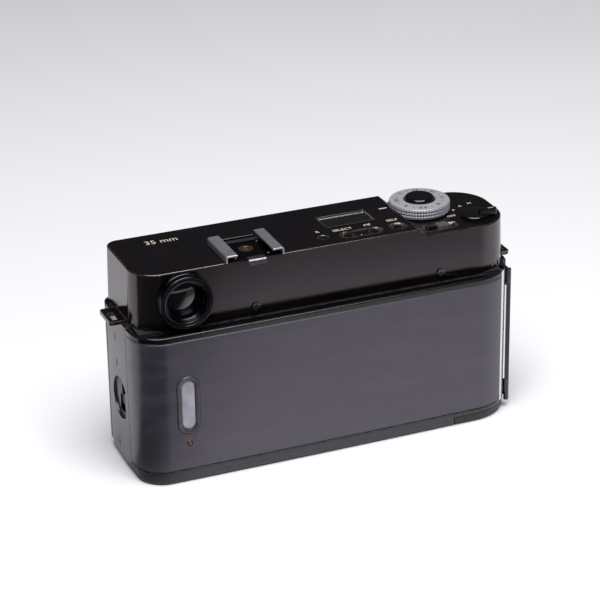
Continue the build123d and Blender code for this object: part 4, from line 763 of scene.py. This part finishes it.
def shoe_springs(low, high, x, y):
    """Leaf spring with two bowed arms, and the tongue at the rear."""
    quarter = Matrix.Rotation(math.pi / 2, 4, "Z")
    leaf = []
    for side in (-1, 1):
        arm = bent_sheet([(0, 0), (4, 0.15), (9.0, 1.15), (12.5, 0.2), (14.5, 0.05)], 0.22, 2.0, 1.2, 6)
        leaf.append((arm, Matrix.Translation((side * 7.9, -7.6, 0)) @ quarter))
    outline = rounded([(8.9, -5.5, 0.3), (-8.9, -5.5, 0.3), (-8.9, -7.8, 0.3), (8.9, -7.8, 0.3)], 3)
    leaf.append((plate(outline[::-1], -0.1, 0.12, 0.04), Matrix()))
    piece("shoe_leaf_spring", joined(*leaf), at(x, y, low.z + 0.62), FINISH["spring_steel"], "body",
          ["shoe_spring"])
    tongue = bent_sheet([(0, 0), (2.6, 0), (3.1, -1.75)], 0.3, 6.2, 0.6)
    tongue.transform(quarter)
    piece("shoe_tongue", tongue, at(x - 0.4, high.y - 1.6, low.z + 0.5), FINISH["spring_steel"], "body")


def accessory_shoe():
    """Accessory shoe with its floor, contact and springs."""
    low, high = box_mm("accessory_shoe")
    x, y = (low.x + high.x) / 2, (low.y + high.y) / 2
    floor = low.z + 0.33
    shoe_rails(low, high, x, y)
    shoe_floor(low, high, x, y, floor)
    shoe_contact(floor)
    shoe_springs(low, high, x, y)


def eyepiece():
    """Eyepiece barrel with stepped rings round a recessed, domed lens."""
    low, high = box_mm("eyepiece_ring")
    x, z, out = (low.x + high.x) / 2, (low.z + high.z) / 2, high.y
    profile = [(6.3, out - 3.4), (6.35, out - 2.2), (6.6, out - 1.9), (6.95, out - 1.1),
               (7.05, out - 0.95), (7.1, out - 0.55), (7.25, out - 0.42), (7.75, out - 0.38),
               (7.9, out - 0.3), (7.95, out - 0.12), (8.1, out), (8.25, out - 0.02), (8.32, out - 0.35),
               (8.45, out - 0.42), (8.55, out - 0.3), (8.62, out - 0.04), (8.8, out), (9.15, out - 0.1),
               (9.35, out - 0.35), (9.4, out - 0.7), (9.4, out - 2.2), (9.25, out - 2.4),
               (9.25, out - 2.7), (9.4, out - 2.9), (9.4, low.y + 1.95), (7.8, low.y + 1.95),
               (7.8, low.y), (6.2, low.y), (6.2, out - 5.0)]
    piece("eyepiece_rings", lathe(profile, 128), at(x, 0, z, FACING_BACK), FINISH["lens_black"], "body",
          ["eyepiece_ring"])
    glass_low, glass_high = box_mm("eyepiece_lens")
    front, back = glass_low.y, glass_high.y
    glass = [(0, back + 0.95), (1.5, back + 0.91), (3.0, back + 0.75), (4.5, back + 0.45),
             (5.6, back + 0.1), (6.15, back - 0.1), (6.18, back - 0.4), (6.18, front + 0.9),
             (4.0, front + 0.8), (0, front + 0.7)]
    # opaque near-black glass: painted shade of the finder seen through it
    piece("eyepiece_glass", lathe(glass, 96), at(x, 0, z, FACING_BACK), FINISH["eye_glass"], "body",
          ["eyepiece_lens"])
    stop = [(3.4, front + 0.5), (3.5, front + 0.6), (6.1, front + 0.6), (6.1, front + 0.3),
            (3.5, front + 0.3)]
    piece("eyepiece_field_stop", lathe(stop, 64), at(x, 0, z, FACING_BACK), FINISH["finder_mask"],
          "body")


def display_trim():
    """Bevelled lip round the frame counter's window, in bright metal that stands in for the light caught by
    a black bevel: painted highlight.
    """
    low, high = box_mm("display_window")
    x, y = (low.x + high.x) / 2, (low.y + high.y) / 2
    gap = 0.12
    w, d = (high.x - low.x) / 2 + gap, (high.y - low.y) / 2 + gap
    outline = rounded([(w, d, 0.5), (-w, d, 0.5), (-w, -d, 0.5), (w, -d, 0.5)], 4)
    lip = trim(outline, [(-0.05, TOP - 0.75), (0.14, TOP + 0.01), (0.06, TOP + 0.04), (-0.1, TOP - 0.2),
                         (-0.2, TOP - 0.75)])
    piece("display_trim", lip, at(x, y, 0), FINISH["bright_trim"], "body")


def top_marks():
    """Printed words and index marks on the top face and the control deck."""
    ink = 0.012                              # the type's middle stands this far above its face
    words = (("R", -0.4, 1.5, TOP, 2.2, 0.012), ("SELECT", -9.0, 2.8, TOP, 2.2, 0.012),
             ("MF", -18.35, 2.6, TOP, 2.2, 0.012), ("SELF", -27.75, 2.1, TOP, 2.2, 0.012),
             ("35 mm", 50.5, -13.0, TOP, 4.2, -0.02), ("OFF", -50.9, 1.0, DECK, 1.9, 0.012),
             ("P", -53.8, -3.4, DECK, 1.9, 0.012), ("A", -57.4, -6.0, DECK, 1.9, 0.012),
             ("M", -61.5, -7.0, DECK, 1.9, 0.012))
    lines = ((-29.2, -8.8, TOP, 3.05, 0.62), (-13.2, 9.6, TOP, 0.5, 0.4), (-49.2, 6.1, DECK, 1.1, 0.4),
             (-47.4, 5.9, DECK, 0.9, 0.3))
    marks = [(letters(text, size, bold), at(x, y, face + ink, UP_READ_FROM_BEHIND))
             for text, x, y, face, size, bold in words]
    marks += [(printed_line(length, width), at(x, y, face)) for x, y, face, length, width in lines]
    marks.append((printed_line(1.1, 0.35), at(-49.2, 6.1, DECK) @ Matrix.Rotation(math.pi / 2, 4, "Z")))
    piece("top_print", joined(*marks), Matrix(), FINISH["white_print"], "body")


def film_window():
    """Raised rim round the pane through which the film is seen."""
    low, high = box_mm("window_frame")
    x, z = (low.x + high.x) / 2, (low.z + high.z) / 2
    length, width = high.z - low.z, high.x - low.x
    turn = FACING_BACK @ Matrix.Rotation(math.pi / 2, 3, "Z")
    out = high.y
    section = [(0, low.y), (0, out - 0.55), (-0.08, out - 0.2), (-0.3, out), (-1.35, out),
               (-1.6, out - 0.15), (-1.75, out - 0.5), (-1.8, low.y)]
    rim = trim(oblong(length, width), section)
    piece("film_window_rim", rim, at(x, 0, z, turn), FINISH["door_skin"], "back_door",
          ["window_frame"])
    groove = trim(oblong(length, width), [(0.02, low.y), (0.28, out - 0.72), (0.36, out - 0.80),
                                          (0.36, low.y)])
    piece("film_window_groove", groove, at(x, 0, z, turn), FINISH["gloss_black"], "back_door")
    pane = plate(oblong(length - 3.6, width - 3.6), low.y - 0.1, out - 0.38, 0.25)
    piece("film_window_glazing", pane, at(x, 0, z, turn), FINISH["pane_grey"], "back_door",
          ["window_pane"])


def door_rivet():
    """Domed copper rivet in the door's skin."""
    low, high = box_mm("door_rivet")
    x, z, out = (low.x + high.x) / 2, (low.z + high.z) / 2, high.y
    head = lathe([(0, out), (0.35, out - 0.03), (0.65, out - 0.16), (0.85, out - 0.4), (0.9, out - 0.6),
                  (0.9, low.y), (0, low.y)], 32)
    piece("door_rivet_head", head, at(x, 0, z, FACING_BACK), FINISH["copper"], "back_door",
          ["door_rivet"])


def arrow_mark():
    """Small printed arrow above the door release, for the direction of its slide."""
    low, high = box_mm("door_release")
    face = box_mm("end_plate_latch_side")[1].x
    outline = rounded([(0, -1.5, 0.1), (1.0, 0.1, 0.1), (0.35, 0.1, 0.05), (0.35, 1.5, 0.05),
                       (-0.35, 1.5, 0.05), (-0.35, 0.1, 0.05), (-1.0, 0.1, 0.1)], 2)
    place = at(face - 0.02, low.y + 1.3, high.z + 3.2, FACING_LATCH_END)
    piece("release_arrow", plate(outline, 0, 0.03, 0.01), place, FINISH["dark_print"], "body")


def lens_hood():
    """Sliding hood with a straight-knurled grip band."""
    low, high = box_mm("lens_hood")
    x, z, r = (low.x + high.x) / 2, (low.z + high.z) / 2, (high.x - low.x) / 2
    front, back = -low.y, -high.y
    inner, teeth = r - 1.2, 150
    profile = [(inner, back), (inner, front - 0.3), (inner + 0.2, front), (r - 0.35, front),
               (r - 0.1, front - 0.12), (r, front - 0.4), (r, front - 5.0), (r - 0.25, front - 5.15),
               (r - 0.25, front - 5.5)]
    profile += [(r, front - 5.6, 0.0), (r, front - 5.75, 1.0), (r, front - 13.4, 1.0),
                (r, front - 13.6, 0.0)]
    profile += [(r - 0.25, front - 13.7), (r - 0.25, front - 14.1), (r, front - 14.25), (r, back + 0.25),
                (r - 0.25, back)]
    hood = lathe(profile, teeth * 6, teeth, 0.3)
    piece("lens_hood_knurled", hood, at(x, 0, z, FACING_FRONT), FINISH["lens_black"], "hood",
          ["lens_hood"])


aperture_dial()
release_button()
for word in ("select", "focus", "timer", "rewind"):
    key(word + "_key_cap", word + "_button", word + "_key")
main_switch()
setting_slider()
accessory_shoe()
eyepiece()
display_trim()
top_marks()
film_window()
door_rivet()
arrow_mark()
lens_hood()


# ------------------------------------------------------------------ studio, in metres
LIGHT_PLACE = (0.05, 0.3, 1.0)
LIGHT_AIM = (0.0, 0.05, 0.0)
LIGHT_POWER = 18.0
BACKDROP = (0.66, 0.66, 0.70, 1)
DARK_ROOM = (0.035, 0.035, 0.04, 1)
CAMERA_PLACE = (0.28361, 0.69171, 0.38876)
CAMERA_ANGLES = (158.112, 24.463, -0.933)    # azimuth, height and roll in degrees
FOCAL_LENGTH = 143.65


def studio_floor():
    """Wide pale floor just under the feet of the part."""
    f = Finish("pale_floor")
    f.set("Base Color", f.mix(f.noise(400.0), (0.86, 0.86, 0.875), (0.84, 0.84, 0.86)))
    f.set("Roughness", (0.6 + f.noise(150.0) * 0.1).clamp())
    bm = bmesh.new()
    bmesh.ops.create_grid(bm, x_segments=8, y_segments=8, size=4.0)
    mesh = bpy.data.meshes.new("studio_floor")
    bm.to_mesh(mesh)
    bm.free()
    mesh.materials.append(f.material)
    floor = bpy.data.objects.new("studio_floor", mesh)
    floor.location.z = -0.00005
    SCENE.collection.objects.link(floor)


def softbox(name, place, aim, size, power, colour):
    """Rectangular area light turned towards a point."""
    light = bpy.data.lights.new(name, "AREA")
    light.shape = "RECTANGLE"
    light.size, light.size_y = size
    light.energy = power
    light.color = colour
    lamp = bpy.data.objects.new(name, light)
    lamp.location = place
    lamp.rotation_euler = (Vector(aim) - Vector(place)).to_track_quat("-Z", "Y").to_euler()
    SCENE.collection.objects.link(lamp)


def black_flag():
    """Black net on the floor that only shows in glossy surfaces: dense at the latch end and far off."""
    f = Finish("flag_net")
    weave = f.noise(2.0)
    f.set("Base Color", f.mix(weave, (0.004, 0.004, 0.004), (0.008, 0.008, 0.008)))
    f.set("Roughness", (0.9 + weave * 0.1).clamp())
    x = f.node("SeparateXYZ", {0: f.place}, out="X")
    y = f.node("SeparateXYZ", {0: f.place}, out="Y")
    beside = (x + y * 0.5).above(0.055, 0.095)
    beyond = y.above(0.105, 0.21) * 0.8
    f.set("Alpha", (1 - (1 - beside) * (1 - beyond)).clamp())
    mesh = bpy.data.meshes.new("black_flag")
    mesh.from_pydata([(-0.4, 0, 0), (0.32, 0, 0), (0.32, 0.5, 0), (-0.4, 0.5, 0)], [], [range(4)])
    mesh.materials.append(f.material)
    card = bpy.data.objects.new("black_flag", mesh)
    card.location.z = 0.0006
    card.visible_camera = card.visible_diffuse = card.visible_shadow = False
    SCENE.collection.objects.link(card)


def surroundings():
    """Pale backdrop where the camera looks, dark room everywhere else."""
    world = bpy.data.worlds.new("studio_world")
    world.use_nodes = True
    nodes, links = world.node_tree.nodes, world.node_tree.links
    seen = nodes["Background"]
    seen.inputs["Color"].default_value = BACKDROP
    around = nodes.new("ShaderNodeBackground")
    around.inputs["Color"].default_value = DARK_ROOM
    path, either = nodes.new("ShaderNodeLightPath"), nodes.new("ShaderNodeMixShader")
    links.new(path.outputs["Is Camera Ray"], either.inputs[0])
    links.new(around.outputs[0], either.inputs[1])
    links.new(seen.outputs[0], either.inputs[2])
    links.new(either.outputs[0], nodes["World Output"].inputs["Surface"])
    SCENE.world = world


def camera():
    """Camera behind the film door, above and towards the cartridge end."""
    azimuth, height, roll = (math.radians(angle) for angle in CAMERA_ANGLES)
    level = math.cos(height)
    back = Vector((math.sin(azimuth) * level, -math.cos(azimuth) * level, math.sin(height)))
    right = Vector((math.cos(azimuth), math.sin(azimuth), 0))
    up = back.cross(right)
    side = right * math.cos(roll) + up * math.sin(roll)
    over = up * math.cos(roll) - right * math.sin(roll)
    data = bpy.data.cameras.new("camera")
    data.lens = FOCAL_LENGTH
    data.sensor_width = 36.0
    data.clip_start = 0.01
    view = bpy.data.objects.new("camera", data)
    matrix = Matrix((side, over, back)).transposed().to_4x4()
    matrix.translation = Vector(CAMERA_PLACE)
    view.matrix_world = matrix
    SCENE.collection.objects.link(view)
    SCENE.camera = view


studio_floor()
softbox("overhead_softbox", LIGHT_PLACE, LIGHT_AIM, (0.9, 0.8), LIGHT_POWER, (1.0, 0.99, 1.0))
black_flag()
surroundings()
SCENE.view_settings.view_transform = "Standard"
camera()

bpy.context.view_layer.update()
